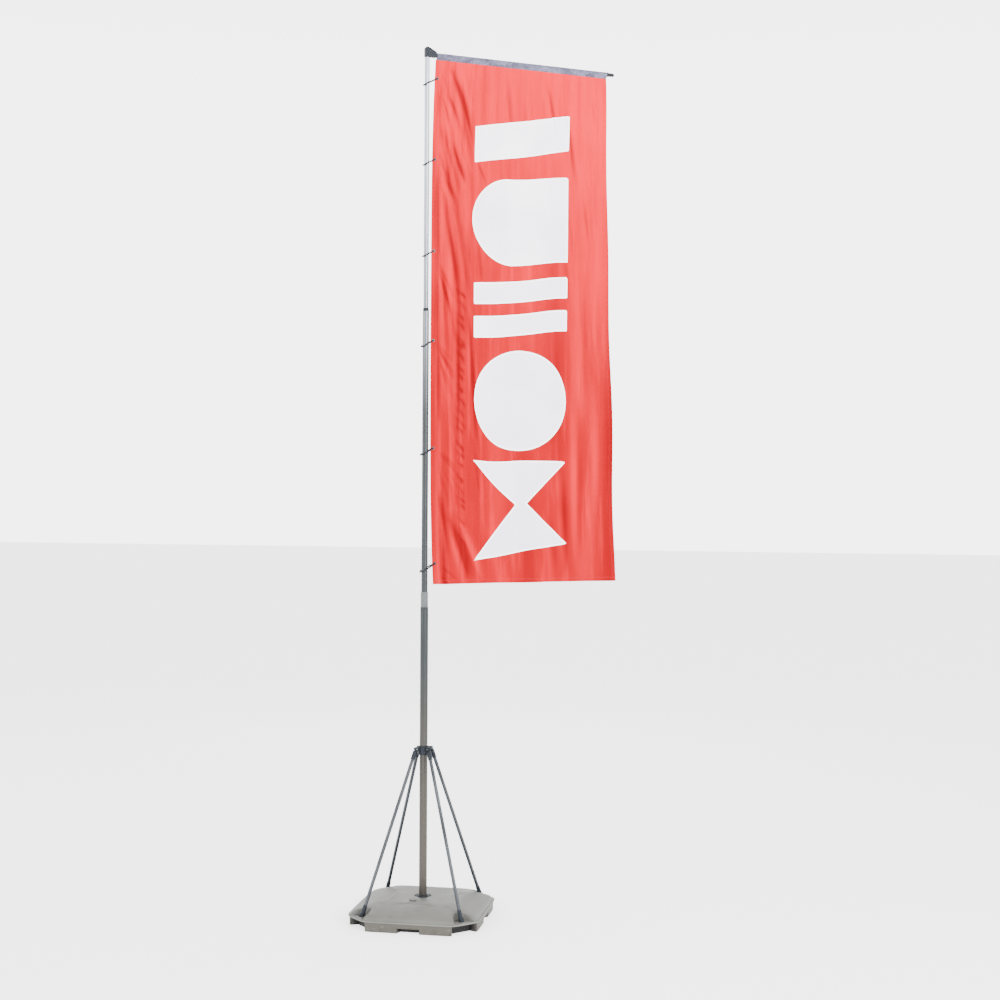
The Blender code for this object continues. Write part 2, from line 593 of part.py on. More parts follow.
def make_ring(k, x, height, head, finish):
    """A loop like a belt round the mast and through the eyelet. It slopes up to the eyelet."""
    passes = LOWER_RADIUS if k >= WIDE_RINGS_FROM else MIDDLE_RADIUS
    big = passes + RING_FIT + RING_ROD
    centre = x - RING_TURN
    split = acos((big - RING_TURN) / centre)
    path = [(big * cos(a), big * sin(a), a) for a in np.linspace(split, 2 * pi - split, 12)]
    path += [(centre + RING_TURN * cos(a), RING_TURN * sin(a), a) for a in np.linspace(-split, split, 5)]
    around = [2 * pi * s / 6 for s in range(6)]
    loops = []
    for px, py, facing in path:
        outward = Vector((cos(facing), sin(facing), 0))
        tangent = Vector((-sin(facing), cos(facing), -sin(facing) * RING_SLOPE)).normalized()
        third = outward.cross(tangent).normalized()
        outward = tangent.cross(third)
        centre_line = Vector((px, py, (px - x) * RING_SLOPE))
        loops.append([centre_line + RING_ROD * (cos(a) * outward + sin(a) * third) for a in around])
    add(f"tie_ring_{k + 1}", *bridge(loops, closed_ways=True), finish, head, (0, 0, height))


def main():
    for old in list(bpy.data.objects):
        bpy.data.objects.remove(old)
    tank_plastic = material("tank_polyethylene", (155, 155, 150), 0.55)
    dark = material("slate_plastic", (62, 68, 78), 0.45)
    grey = material("grey_plastic", (120, 124, 128), 0.40)
    metal = material("anodised_aluminium", (170, 172, 174), 0.35, 1.0)
    steel = material("zinc_steel", (150, 152, 154), 0.35, 1.0)
    rubber = material("black_rubber", (30, 30, 30), 0.80)
    water = material("water", (120, 140, 150), 0.10)
    red = material("red_polyester", (250, 90, 92), 0.70)
    lilac = material("grey_polyester", (150, 150, 170), 0.75)
    brass = material("nickel_brass", (140, 140, 135), 0.30, 1.0)

    make_tank(tank_plastic, dark, rubber, water)
    make_mast(metal, dark, grey)
    make_hub(dark, steel)
    for number in range(1, 5):
        make_stay(number, metal, dark)
    head, arm_height = make_head(metal, dark, steel)
    make_banner(head, arm_height, red, lilac, brass, dark)


main()
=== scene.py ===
# %% [markdown]
# # A banner flag on a telescopic mast
#
# The flag is a tall banner that hangs from a short arm at the head of a three-part mast.
# The mast stands in a water tank, and four stays hold it upright.
# Every part that moves or carries load is already there as a plain solid of the right size.
# This lesson puts a finely made surface in place of each plain solid, gives each one a finish,
# hangs the cloth, and sets up a studio around it.

# %% Open the frame and measure it
import json

import bmesh
import bpy
import numpy as np
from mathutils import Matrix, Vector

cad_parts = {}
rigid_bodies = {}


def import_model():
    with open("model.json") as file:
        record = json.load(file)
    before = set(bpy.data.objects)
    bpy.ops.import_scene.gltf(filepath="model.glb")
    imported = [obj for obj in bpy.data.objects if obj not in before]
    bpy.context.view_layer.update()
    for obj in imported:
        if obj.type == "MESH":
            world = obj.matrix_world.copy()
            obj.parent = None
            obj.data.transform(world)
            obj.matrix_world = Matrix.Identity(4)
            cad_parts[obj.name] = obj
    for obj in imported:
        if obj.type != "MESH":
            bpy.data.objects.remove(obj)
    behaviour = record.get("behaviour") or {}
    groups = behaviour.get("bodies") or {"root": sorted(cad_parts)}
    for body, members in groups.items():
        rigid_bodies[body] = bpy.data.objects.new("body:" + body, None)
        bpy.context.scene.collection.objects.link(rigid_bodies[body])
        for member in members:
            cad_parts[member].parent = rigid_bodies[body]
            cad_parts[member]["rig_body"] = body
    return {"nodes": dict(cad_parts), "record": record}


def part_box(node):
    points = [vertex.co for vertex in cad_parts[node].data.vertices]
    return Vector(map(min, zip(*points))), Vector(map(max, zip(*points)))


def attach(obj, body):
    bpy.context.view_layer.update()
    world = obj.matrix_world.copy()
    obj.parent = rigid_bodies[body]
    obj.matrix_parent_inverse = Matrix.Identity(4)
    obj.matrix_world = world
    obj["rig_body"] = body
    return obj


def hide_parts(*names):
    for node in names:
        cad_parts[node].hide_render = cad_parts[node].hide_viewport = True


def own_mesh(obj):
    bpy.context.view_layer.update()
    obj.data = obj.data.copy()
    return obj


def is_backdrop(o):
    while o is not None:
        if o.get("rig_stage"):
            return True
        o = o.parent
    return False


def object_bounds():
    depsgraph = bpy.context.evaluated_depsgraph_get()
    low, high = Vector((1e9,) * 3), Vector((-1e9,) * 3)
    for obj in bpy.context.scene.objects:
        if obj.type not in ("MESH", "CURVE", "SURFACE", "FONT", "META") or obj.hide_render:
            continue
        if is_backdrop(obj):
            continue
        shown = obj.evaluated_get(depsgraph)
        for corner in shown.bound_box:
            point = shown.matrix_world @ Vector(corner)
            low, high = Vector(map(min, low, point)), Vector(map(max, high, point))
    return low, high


for leftover in list(bpy.data.objects):
    bpy.data.objects.remove(leftover)
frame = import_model()
cad_low, cad_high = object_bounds()
finish_of = {row["node"]: row["material_slot"] for row in frame["record"]["subparts"]}
print("the flag measures", [round(side, 3) for side in cad_high - cad_low], "metres")

# %% [markdown]
# ## How a surface becomes a mesh
#
# Every piece below is a grid of points: so many rows, each with so many points.
# The points could be placed one by one with modelling tools, but almost everything here is
# round, bent or extruded, so a formula says the same in a line or two and stays easy to change.
# numpy works out the whole grid at once, and the grid's neighbours give the faces.

# %% Grids of points and their faces
def skin(points, around=False, along=False):
    """The four-sided faces between neighbours of a grid of points, rows by columns by 3.
    around joins each row's last point to its first, and along joins the last row to the first."""
    rows, columns = points.shape[:2]
    index = np.arange(rows * columns).reshape(rows, columns)
    if around:
        index = np.hstack([index, index[:, :1]])
    if along:
        index = np.vstack([index, index[:1]])
    corners = (index[:-1, :-1], index[:-1, 1:], index[1:, 1:], index[1:, :-1])
    return points.reshape(-1, 3), np.stack(corners, -1).reshape(-1, 4)


def place(points, centre=(0, 0, 0), axis=(0, 0, 1), across=(1, 0, 0)):
    """Local points in the flag's own space: local z runs along axis, and local x as near to across
    as a right angle to axis allows. Point = centre + x times across + y times side + z times axis."""
    axis = np.array(axis, float) / np.linalg.norm(axis)
    if abs(axis @ np.array(across, float)) > 0.99:
        across = (0, 0, 1)
    across = np.array(across, float) - (axis @ np.array(across, float)) * axis
    across /= np.linalg.norm(across)
    return np.array(centre, float) + points @ np.array([across, np.cross(axis, across), axis])


def piece(node, *skins, smooth_below=40, weld=True):
    """One object from one or more skins, laid end to end in one mesh. It stands for a plain solid,
    takes its finish and moves with it."""
    vertices, faces, count = [], [], 0
    for points, quads in skins:
        vertices.append(points)
        faces.append(quads + count)
        count += len(points)
    mesh = bpy.data.meshes.new(f"{node}_surface")
    mesh.from_pydata(np.vstack(vertices).tolist(), [], np.vstack(faces).tolist())
    shell = bmesh.new()
    shell.from_mesh(mesh)
    if weld:
        bmesh.ops.remove_doubles(shell, verts=shell.verts, dist=1e-6)
    bmesh.ops.recalc_face_normals(shell, faces=shell.faces)
    shell.to_mesh(mesh)
    shell.free()
    mesh.shade_smooth()
    mesh.set_sharp_from_angle(angle=np.radians(smooth_below))
    made = bpy.data.objects.new(mesh.name, mesh)
    bpy.context.scene.collection.objects.link(made)
    mesh.materials.append(finishes[finish_of[node]])
    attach(made, frame["nodes"][node]["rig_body"])
    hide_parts(node)
    return made


def size(node):
    """A plain solid's lowest and highest corner."""
    low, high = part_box(node)
    return np.array(low), np.array(high)


print("plain solids to stand for:", len(frame["nodes"]))

# %% [markdown]
# ## Turned and extruded shapes
#
# Tubes, nuts, caps and feet are round, so each is an outline turned about an axis.
# A moulded or machined edge is never perfectly sharp: it catches a thin line of light.
# A Bevel modifier could round it, but rounding the outline itself costs fewer faces.
# Flat parts, such as the fork plates and the head, are outlines given a thickness the same way.

# %% Round the corners, then turn or extrude
def rounded(corners, radius, closed=True, steps=4):
    """An outline whose corners are cut back by radius and bridged by a curve. Between the cut
    points A and B of a corner P, the curve is (1-s)(1-s) A + 2s(1-s) P + s s B."""
    corner = np.array(corners, float)
    before, after = np.roll(corner, 1, 0) - corner, np.roll(corner, -1, 0) - corner
    lengths = np.linalg.norm(before, axis=1), np.linalg.norm(after, axis=1)
    cut = np.minimum(radius, 0.35 * np.minimum(*lengths))[:, None]
    start, end = before / lengths[0][:, None] * cut, after / lengths[1][:, None] * cut
    s = np.linspace(0, 1, steps + 1)[:, None, None]
    bend = (1 - s) ** 2 * start + s ** 2 * end
    bend = np.concatenate([1.25 * start[None], bend, 1.25 * end[None]]) + corner
    groups = bend.transpose(1, 0, 2)
    if closed:
        return groups.reshape(-1, 2)
    return np.vstack([corner[:1], groups[1:-1].reshape(-1, 2), corner[-1:]])


def turned(corners, radius=0.0005, closed=True, sides=64,
           centre=(0, 0, 0), axis=(0, 0, 1), ribs=None):
    """An outline of (radius, height) turned about an axis: x = r cos a, y = r sin a, z = h.
    ribs = (count, depth) lets the outer face sink by depth between that many grip ribs."""
    outline = rounded(corners, radius, closed)
    reach, height = outline[:, :1], outline[:, 1:]
    angle = np.linspace(0, 2 * np.pi, sides, endpoint=False)[None, :]
    if ribs:
        count, depth = ribs
        middle, half = (height.max() + height.min()) / 2, (height.max() - height.min()) / 2
        outer = np.clip((reach - reach.max() + 0.001) / 0.0005, 0, 1)
        inside = np.clip((0.8 * half - abs(height - middle)) / (0.15 * half) + 1, 0, 1)
        reach = reach - depth * outer * inside * (1 - abs(np.sin(count * angle / 2)) ** 0.7)
    grid = np.stack(np.broadcast_arrays(reach * np.cos(angle), reach * np.sin(angle), height), -1)
    return skin(place(grid, centre, axis), around=True, along=closed)


def pipe(inner, outer, low, high):
    """The outline of a wall: a rectangle from the inner to the outer radius, and from low to high."""
    return [(inner, low), (outer, low), (outer, high), (inner, high)]


def plate(corners, half, edge, radius, centre=(0, 0, 0), across=(1, 0, 0), steps=5):
    """An outline of (x, z) given a thickness of 2 half along y. Its rim is a quarter circle:
    y = half - edge + edge sin a, and the outline lies edge (1 - cos a) further in."""
    outline = rounded(corners, radius)
    tangent = np.roll(outline, -1, 0) - np.roll(outline, 1, 0)
    tangent /= np.linalg.norm(tangent, axis=1, keepdims=True)
    inward = np.stack([-tangent[:, 1], tangent[:, 0]], -1)
    middle = outline.mean(0)
    inward *= np.sign(((middle - outline) * inward).sum())
    quarter = np.linspace(0, np.pi / 2, steps)
    y = np.append(half - edge + edge * np.sin(quarter), (half, half))
    inset = np.append(edge * (1 - np.cos(quarter)), 1.7 * edge)
    side = outline[None] + inward[None] * inset[:, None, None]
    side = np.concatenate([side, np.broadcast_to(middle, (1, len(outline), 2))])
    rows = np.concatenate([side[::-1], side])
    depth = np.concatenate([-y[::-1], y])[:, None] * np.ones(len(outline))
    grid = np.stack([rows[..., 0], depth, rows[..., 1]], -1)
    return skin(place(grid, centre, across=across), around=True)


print("the rounded outline of a tube's wall has", len(rounded(pipe(0.021, 0.023, 0, 1), 0.0006)), "points")

# %% [markdown]
# ## Building finishes from small steps
#
# A finish is a chain of shader steps that ends at one Principled shader.
# An image could be laid over each piece, but worked-out patterns have no seams, stay sharp up
# close, and fit any size. These helpers add a step, a grain, a blend between two colours, and
# a relief, so that each finish below reads as a short recipe.

# %% Helpers for the finishes
def screen(red, green, blue):
    """A colour as a screen shows it, 0 to 255, in the linear values that a shader takes."""
    return tuple((c / 255) ** 2.2 for c in (red, green, blue)) + (1.0,)


def finish(name, **constants):
    """A new material, with the values that are the same all over set on the shader itself."""
    made = bpy.data.materials.new(name)
    made.use_nodes = True
    shader = made.node_tree.nodes["Principled BSDF"]
    for socket, value in constants.items():
        shader.inputs[socket.replace("_", " ")].default_value = value
    return made, made.node_tree, shader


def step(tree, kind, out=0, setup=(), **values):
    """Adds one shader step. A value that comes from another step is linked, any other is set."""
    made = tree.nodes.new("ShaderNode" + kind)
    for name, value in dict(setup).items():
        setattr(made, name, value)
    for name, value in values.items():
        socket = made.inputs[int(name[1:]) if name[1:].isdigit() else name.replace("_", " ")]
        if isinstance(value, bpy.types.NodeSocket):
            tree.links.new(value, socket)
        else:
            socket.default_value = value
    return made.outputs[out]


def grain(tree, scale, stretch=(1, 1, 1), detail=5.0, turn=0.0, source="Object"):
    """Cloudy noise in the piece's own space, drawn out by stretch and turned about z."""
    where = step(tree, "TexCoord", out=source)
    where = step(tree, "Mapping", Vector=where, Scale=stretch, Rotation=(0, 0, turn))
    return step(tree, "TexNoise", Vector=where, Scale=scale, Detail=detail)


def span(tree, value, low, high, first=0.0, last=1.0):
    """Runs from first to last as value goes from low to high, and stops there."""
    return step(tree, "MapRange", Value=value, From_Min=low, From_Max=high,
                To_Min=first, To_Max=last)


def sums(tree, how, first, second):
    """One step of arithmetic, such as ADD or MULTIPLY, on two values."""
    return step(tree, "Math", setup={"operation": how}, i0=first, i1=second)


def blend(tree, share, first, second):
    """Mixes two colours: (1 - share) of the first and share of the second."""
    return step(tree, "Mix", out=2, setup={"data_type": "RGBA"}, i0=share, i6=first, i7=second)


def relief(tree, height, distance, under=None):
    """Tilts the surface as if it rose by distance where height is 1, on top of the relief under it."""
    below = {"Normal": under} if under else {}
    return step(tree, "Bump", Height=height, Distance=distance, Strength=1.0, **below)


def feed(tree, shader, colour, roughness, normal):
    """Joins the ends of the three chains to the shader."""
    tree.links.new(colour, shader.inputs["Base Color"])
    tree.links.new(roughness, shader.inputs["Roughness"])
    tree.links.new(normal, shader.inputs["Normal"])


finishes = {}
print("half of full brightness on a screen is", round(screen(128, 128, 128)[0], 3), "in linear values")

# %% [markdown]
# ## The tank's moulded polyethylene
#
# The tank is blown into a mould, so its skin is slightly wavy, with a fine orange-peel grain.
# It has stood outdoors: dust lies on what faces up, dark marks gather low down, and pale scuffs
# cross it where it was dragged. Three grains of different scale give the skin, and the surface's
# own direction says where the dust can lie. Painted shade darkens the wall below the lip, and most
# of all in the hollows and notches, for which the mesh carries a value.

# %% Tank finish
material, tree, shader = finish("tank_plastic", Specular_IOR_Level=0.2)
cloud = grain(tree, 7.0)
speck = grain(tree, 190.0, detail=3.0)
colour = blend(tree, span(tree, cloud, 0.35, 0.65), screen(88, 88, 85), screen(97, 97, 93))
colour = blend(tree, span(tree, speck, 0.55, 0.72, 0.0, 0.35), colour, screen(74, 73, 70))
facing = step(tree, "SeparateXYZ", out="Z", Vector=step(tree, "NewGeometry", out="Normal"))
dust = sums(tree, "MULTIPLY", span(tree, facing, 0.5, 1.0, 0.0, 0.7),
            span(tree, grain(tree, 16.0), 0.4, 0.7))
colour = blend(tree, dust, colour, screen(101, 100, 96))
low_down = step(tree, "SeparateXYZ", out="Z", Vector=step(tree, "TexCoord", out="Object"))
splash = sums(tree, "MULTIPLY", span(tree, low_down, 0.05, 0.0, 0.0, 0.6),
              span(tree, grain(tree, 30.0), 0.4, 0.65))
# Painted shade: the wall below the lip is darkened where the lip would shadow it.
LIP_SHADOW_BAND = (0.0560, 0.0535)
colour = blend(tree, span(tree, low_down, *LIP_SHADOW_BAND, 0.0, 0.85), colour, screen(62, 59, 54))
colour = blend(tree, splash, colour, screen(46, 42, 37))
# Painted shade in the hollows and notches below the lip, from a value the mesh carries.
painted_hollow_shade = step(tree, "Attribute", out="Fac", setup={"attribute_name": "painted_hollow_shade"})
colour = blend(tree, painted_hollow_shade, colour, screen(10, 9, 8))
scuff = span(tree, grain(tree, 22.0, stretch=(1.0, 9.0, 3.0), turn=0.6, detail=8.0), 0.66, 0.70)
colour = blend(tree, sums(tree, "MULTIPLY", scuff, 0.4), colour, screen(112, 111, 107))
peel = relief(tree, grain(tree, 260.0, detail=2.0), 0.00035)
dull = span(tree, cloud, 0.3, 0.7, 0.50, 0.66)
feed(tree, shader, colour, dull, relief(tree, grain(tree, 9.0), 0.0022, peel))
finishes["tank_plastic"] = material
print("tank finish has", len(tree.nodes), "steps")

# %% [markdown]
# ## Plastics of the fittings
#
# The head, hub, rings, feet and nuts are moulded from filled nylon and polypropylene.
# They share one recipe: a little cloudiness in the colour, a fine spark-etched grain in the
# relief, and paler rubbed patches. Only the colours and the depth of the grain differ.

# %% Finishes of the moulded fittings, the gasket and the water
def moulded(name, dark, pale, roughness, peel):
    """A moulded plastic: cloudy colour, fine etched grain, and rubbed patches that shine more."""
    material, tree, shader = finish(name, Specular_IOR_Level=0.15)
    cloud, fine = grain(tree, 24.0), grain(tree, 900.0, detail=2.0)
    rubbed = span(tree, grain(tree, 60.0, detail=8.0), 0.60, 0.74)
    colour = blend(tree, span(tree, cloud, 0.3, 0.7), screen(*dark), screen(*pale))
    worn = screen(*[c + 22 for c in pale])
    colour = blend(tree, sums(tree, "MULTIPLY", rubbed, 0.35), colour, worn)
    rough = sums(tree, "SUBTRACT", span(tree, cloud, 0.3, 0.7, roughness, roughness + 0.1),
                 sums(tree, "MULTIPLY", rubbed, 0.12))
    feed(tree, shader, colour, rough, relief(tree, fine, peel))
    finishes[name] = material


moulded("slate_plastic", (21, 25, 30), (31, 35, 41), 0.45, 0.00012)
moulded("nut_plastic", (72, 73, 75), (84, 86, 88), 0.42, 0.00012)
moulded("black_plastic", (26, 27, 30), (38, 39, 43), 0.45, 0.00015)
moulded("rubber", (24, 24, 25), (34, 34, 35), 0.75, 0.00020)
moulded("water", (86, 108, 116), (104, 126, 132), 0.08, 0.00002)
finishes["water"].node_tree.nodes["Principled BSDF"].inputs["Transmission Weight"].default_value = 0.85
print("moulded finishes:", ", ".join(finishes))

# %% [markdown]
# ## Metals
#
# The mast tubes are drawn aluminium with a clear anodised skin. Drawing leaves fine lines along
# the tube, so the light smears round it. The stays are cheaper tube, duller and stained.
# Zinc and nickel plating show as small cloudy grains. One recipe makes all four: the noise is
# drawn out along the tube for the first two and left round for the plated screws and eyelets.
# A painted reflection of the ground makes the mast brown near its foot, and a painted reflection
# of the sky makes it bright high up.

# %% Metal finishes
# Heights where the painted reflections of the ground and of the sky begin and are full.
GROUND_REFLECTION_BELOW, GROUND_REFLECTION_MOST, SKY_REFLECTION_ABOVE, SKY_REFLECTION_MOST = 1.5, 0.6, 2.9, 4.6


def metal(name, dark, pale, roughness, stretch, scale, stain, sky_reflection=None):
    """A metal: colour and roughness vary along drawn lines, and stain dulls it in patches.
    The last argument, when given, is the colour of the sky's painted reflection high up; below, a painted
    reflection of the ground browns the tube."""
    material, tree, shader = finish(name, Metallic=1.0)
    lines = grain(tree, scale, stretch=stretch, detail=6.0)
    patch = span(tree, grain(tree, 11.0, stretch=(1, 1, 0.35), detail=8.0), 0.45, 0.75)
    colour = blend(tree, span(tree, lines, 0.3, 0.7), screen(*dark), screen(*pale))
    dulled = screen(*[0.72 * c for c in dark])
    colour = blend(tree, sums(tree, "MULTIPLY", patch, stain), colour, dulled)
    if sky_reflection:
        # Painted reflections: the ground's warm brown near the mast's foot, the sky's bright colour high up.
        high_up = step(tree, "SeparateXYZ", out="Z", Vector=step(tree, "TexCoord", out="Object"))
        ground_reflection = span(tree, high_up, GROUND_REFLECTION_BELOW, GROUND_REFLECTION_MOST, 0.0, 0.75)
        colour = blend(tree, ground_reflection, colour, screen(76, 72, 67))
        colour = blend(tree, span(tree, high_up, SKY_REFLECTION_ABOVE, SKY_REFLECTION_MOST), colour, screen(*sky_reflection))
    rough = sums(tree, "ADD", span(tree, lines, 0.3, 0.7, roughness - 0.05, roughness + 0.06),
                 sums(tree, "MULTIPLY", patch, 0.5 * stain))
    feed(tree, shader, colour, rough, relief(tree, lines, 0.00004))
    finishes[name] = material


metal("aluminium_tube", (46, 48, 50), (60, 62, 63), 0.38, (1, 1, 0.012), 700.0, 0.22,
      sky_reflection=(150, 154, 162))
metal("stay_metal", (58, 60, 63), (73, 76, 80), 0.44, (1, 1, 0.03), 500.0, 0.45)
metal("zinc_steel", (110, 112, 113), (132, 134, 135), 0.34, (1, 1, 1), 260.0, 0.30)
metal("eyelet_metal", (52, 52, 50), (68, 68, 66), 0.34, (1, 1, 1), 320.0, 0.25)
print("metal finishes done, in all", len(finishes))

# %% [markdown]
# ## Cloth finishes
#
# The banner is bright red polyester, with a faint run of the knit along its length. Painted light
# makes it paler coral towards its top and its free side. Beside the mast painted shade lies on it in
# deep streaks, and paler streaks of painted light cross it. Its hems and its sewn seam show as lines
# of stitches. The print is white with a cool cast, cooler lower down. The pocket at the top is mottled
# grey-lilac, and the tape behind the edge is a ribbed webbing.
# The banner's patterns read its own flat coordinates, so that they follow it round each fold.
# Reds are given as linear values, since a strong red has next to no green or blue.

# %% Banner cloth
# The paler of the first two reds is painted light; the streak, fold and crest reds paint shade and
# highlights.
DEEP_RED, LIT_CORAL_RED = (0.30, 0.0006, 0.005, 1), (0.60, 0.007, 0.018, 1)
STREAK_SHADE_RED, STREAK_LIGHT_RED, KNIT_RED = (0.24, 0.0005, 0.003, 1), (0.62, 0.008, 0.020, 1), (0.24, 0.0015, 0.004, 1)
FOLD_SHADE_RED, CREST_HIGHLIGHT_RED = (0.13, 0.0005, 0.002, 1), (0.74, 0.016, 0.028, 1)
HEM_RED, THREAD_RED = (0.12, 0.001, 0.003, 1), (0.70, 0.03, 0.045, 1)
material, tree, shader = finish("banner_cloth", Specular_IOR_Level=0.01)
flat = step(tree, "SeparateXYZ", out="X", Vector=step(tree, "TexCoord", out="UV"))
across_flat, up_flat = flat, flat.node.outputs["Y"]
knit = grain(tree, 1.0, stretch=(420, 30, 1), detail=3.0, source="UV")
cloud = grain(tree, 3.0, stretch=(1, 2.6, 1), detail=5.0, source="UV")
# Painted light: the red turns paler coral towards the top and the free side, with a random cloud of tone.
height_up = sums(tree, "ADD", sums(tree, "MULTIPLY", up_flat, 0.85),
                 sums(tree, "MULTIPLY", across_flat, 0.22))
painted_light_and_tone = sums(tree, "ADD", span(tree, height_up, 0.42, 1.0), span(tree, cloud, 0.35, 0.65, -0.12, 0.12))
red = blend(tree, painted_light_and_tone, DEEP_RED, LIT_CORAL_RED)
# Painted shade and light in streaks: dark streaks beside the mast, and paler streaks all over.
streak = grain(tree, 1.0, stretch=(30, 5, 1), detail=5.0, turn=0.22, source="UV")
beside_mast = span(tree, across_flat, 0.34, 0.05, 0.25, 0.85)
painted_streak_shade = sums(tree, "MULTIPLY", span(tree, streak, 0.48, 0.68), beside_mast)
red = blend(tree, painted_streak_shade, red, STREAK_SHADE_RED)
red = blend(tree, span(tree, streak, 0.46, 0.32, 0.0, 0.35), red, STREAK_LIGHT_RED)
red = blend(tree, span(tree, knit, 0.35, 0.65, 0.0, 0.12), red, KNIT_RED)
# Painted shade in the folds, and a painted highlight on the crests, from a value the mesh carries.
in_fold = step(tree, "Attribute", out="Fac", setup={"attribute_name": "in_fold"})
red = blend(tree, span(tree, in_fold, 0.05, 1.0, 0.0, 0.80), red, FOLD_SHADE_RED)
red = blend(tree, span(tree, in_fold, -0.1, -1.0, 0.0, 0.35), red, CREST_HIGHLIGHT_RED)
white = blend(tree, span(tree, cloud, 0.35, 0.65), screen(248, 248, 252), screen(226, 223, 240))
white = blend(tree, span(tree, up_flat, 0.75, 0.10, 0.0, 0.75), white, screen(216, 209, 230))
# Painted shade of the folds on the print as well.
white = blend(tree, span(tree, in_fold, 0.1, 1.0, 0.0, 0.35), white, screen(190, 186, 214))
inside = step(tree, "Attribute", out="Fac", setup={"attribute_name": "print_inside"})
border = sums(tree, "MULTIPLY", span(tree, inside, 0.010, 0.0085), 0.9)
white = blend(tree, border, white, screen(253, 255, 255))
cloth_colour = blend(tree, span(tree, inside, -0.0006, 0.0006), red, white)
print("red and print take", len(tree.nodes), "steps")

# %% [markdown]
# Sewing could be real thread, thousands of tiny loops, but from a few steps away only its lines
# show. So a seam is a thin line in the flat coordinates, and a wave along it breaks it into
# stitches. The doubled cloth of the hems stands a little proud.

# %% Seams, hems and stitches

def line_at(value, middle, half):
    """1 on a thin line where value is within half of middle, and 0 elsewhere."""
    away = sums(tree, "ABSOLUTE", sums(tree, "SUBTRACT", value, middle), 0.0)
    return span(tree, away, half, 0.7 * half)


def stitches(value, middle, half, onward, pitch):
    """A line at middle broken into stitches, pitch of them along the whole of onward."""
    wave = sums(tree, "SINE", sums(tree, "MULTIPLY", onward, pitch * 6.283), 0.0)
    return sums(tree, "MULTIPLY", line_at(value, middle, half), span(tree, wave, -0.5, -0.2))


SIDE_HEM, LOW_HEM, SEAM_ACROSS, TAPE_ACROSS = 0.981, 0.0075, 0.146, 0.029
STITCHES_DOWN, STITCHES_ACROSS = 620.0, 240.0
seam = sums(tree, "MULTIPLY", line_at(across_flat, SEAM_ACROSS, 0.0016), span(tree, up_flat, 0.62, 0.50))
hem = sums(tree, "MAXIMUM", line_at(across_flat, SIDE_HEM, 0.0007), line_at(up_flat, LOW_HEM, 0.0003))
sewn = sums(tree, "MAXIMUM", stitches(across_flat, SIDE_HEM, 0.0009, up_flat, STITCHES_DOWN),
            stitches(up_flat, LOW_HEM, 0.0004, across_flat, STITCHES_ACROSS))
sewn = sums(tree, "MAXIMUM", sewn, stitches(across_flat, TAPE_ACROSS, 0.0009, up_flat, STITCHES_DOWN))
joined = sums(tree, "MULTIPLY", sums(tree, "MAXIMUM", seam, hem), 0.40)
cloth_colour = blend(tree, joined, cloth_colour, HEM_RED)
cloth_colour = blend(tree, sums(tree, "MULTIPLY", sewn, 0.5), cloth_colour, THREAD_RED)
doubled = sums(tree, "MAXIMUM", span(tree, across_flat, 0.9805, 0.9815),
               span(tree, up_flat, 0.0078, 0.0072))
bumps = relief(tree, sums(tree, "SUBTRACT", doubled, sums(tree, "MULTIPLY", sewn, 0.6)), 0.0006)
bumps = relief(tree, knit, 0.00010, bumps)
bumps = relief(tree, grain(tree, 1.0, stretch=(24, 9, 1), detail=6.0, source="UV"), 0.0035, bumps)
feed(tree, shader, cloth_colour, span(tree, cloud, 0.3, 0.7, 0.62, 0.74), bumps)
finishes["banner_cloth"] = material
print("with its sewing the banner cloth takes", len(tree.nodes), "steps")

# %% [markdown]
# The pocket's mottling comes from two clouds, one coarse and one fine. The tape's ribs are a plain
# wave down its length, which is all that webbing shows at this size.

# %% Pocket and tape cloth
material, tree, shader = finish("pocket_cloth", Sheen_Weight=0.05, Specular_IOR_Level=0.15)
cloud = grain(tree, 14.0, stretch=(1, 1, 2.0), detail=8.0)
fine = grain(tree, 90.0, detail=4.0)
pocket_colour = blend(tree, span(tree, cloud, 0.38, 0.62), screen(66, 66, 82), screen(94, 94, 113))
pocket_colour = blend(tree, span(tree, fine, 0.55, 0.70, 0.0, 0.45), pocket_colour, screen(132, 132, 152))
pocket_colour = blend(tree, span(tree, fine, 0.45, 0.30, 0.0, 0.45), pocket_colour, screen(54, 53, 70))
weave = relief(tree, grain(tree, 1100.0, detail=2.0), 0.00010)
feed(tree, shader, pocket_colour, span(tree, cloud, 0.3, 0.7, 0.66, 0.80), relief(tree, fine, 0.0012, weave))
finishes["pocket_cloth"] = material

material, tree, shader = finish("tape_webbing", Sheen_Weight=0.05, Specular_IOR_Level=0.10)
rib = step(tree, "TexWave", setup={"bands_direction": "Z"}, Vector=step(tree, "TexCoord", out="Object"),
           Scale=160.0, Distortion=0.6, Detail=2.0)
webbing = blend(tree, span(tree, rib, 0.2, 0.8), (0.22, 0.002, 0.005, 1), (0.32, 0.003, 0.008, 1))
webbing = blend(tree, span(tree, grain(tree, 30.0), 0.5, 0.7, 0.0, 0.3), webbing, (0.15, 0.002, 0.004, 1))
feed(tree, shader, webbing, span(tree, rib, 0.0, 1.0, 0.70, 0.82), relief(tree, rib, 0.0004))
finishes["tape_webbing"] = material
print("finishes:", len(finishes))

# %% [markdown]
# ## The water tank
#
# The tank is a square with cut corners. A lip runs round it where the mould's halves met. Above
# the lip the skin rises in a low dome: a quick roll at first, and then a long gentle slope to a
# flat middle. A curved crease crosses the dome near each side. Each corner has a scoop with a
# thin web for a stay's foot, hollow below, and each side has a notch for the fingers.
# Seen from above, every outline has one distance from the mast for each direction. So the
# whole skin is one grid: directions by levels, from the middle of the bottom, out, up, over the
# lip and dome, and down again into the dish round the mast. Modelling cuts would leave rough
# rims, and here each scoop, hollow and notch is a term in the distance, so its rims stay soft.

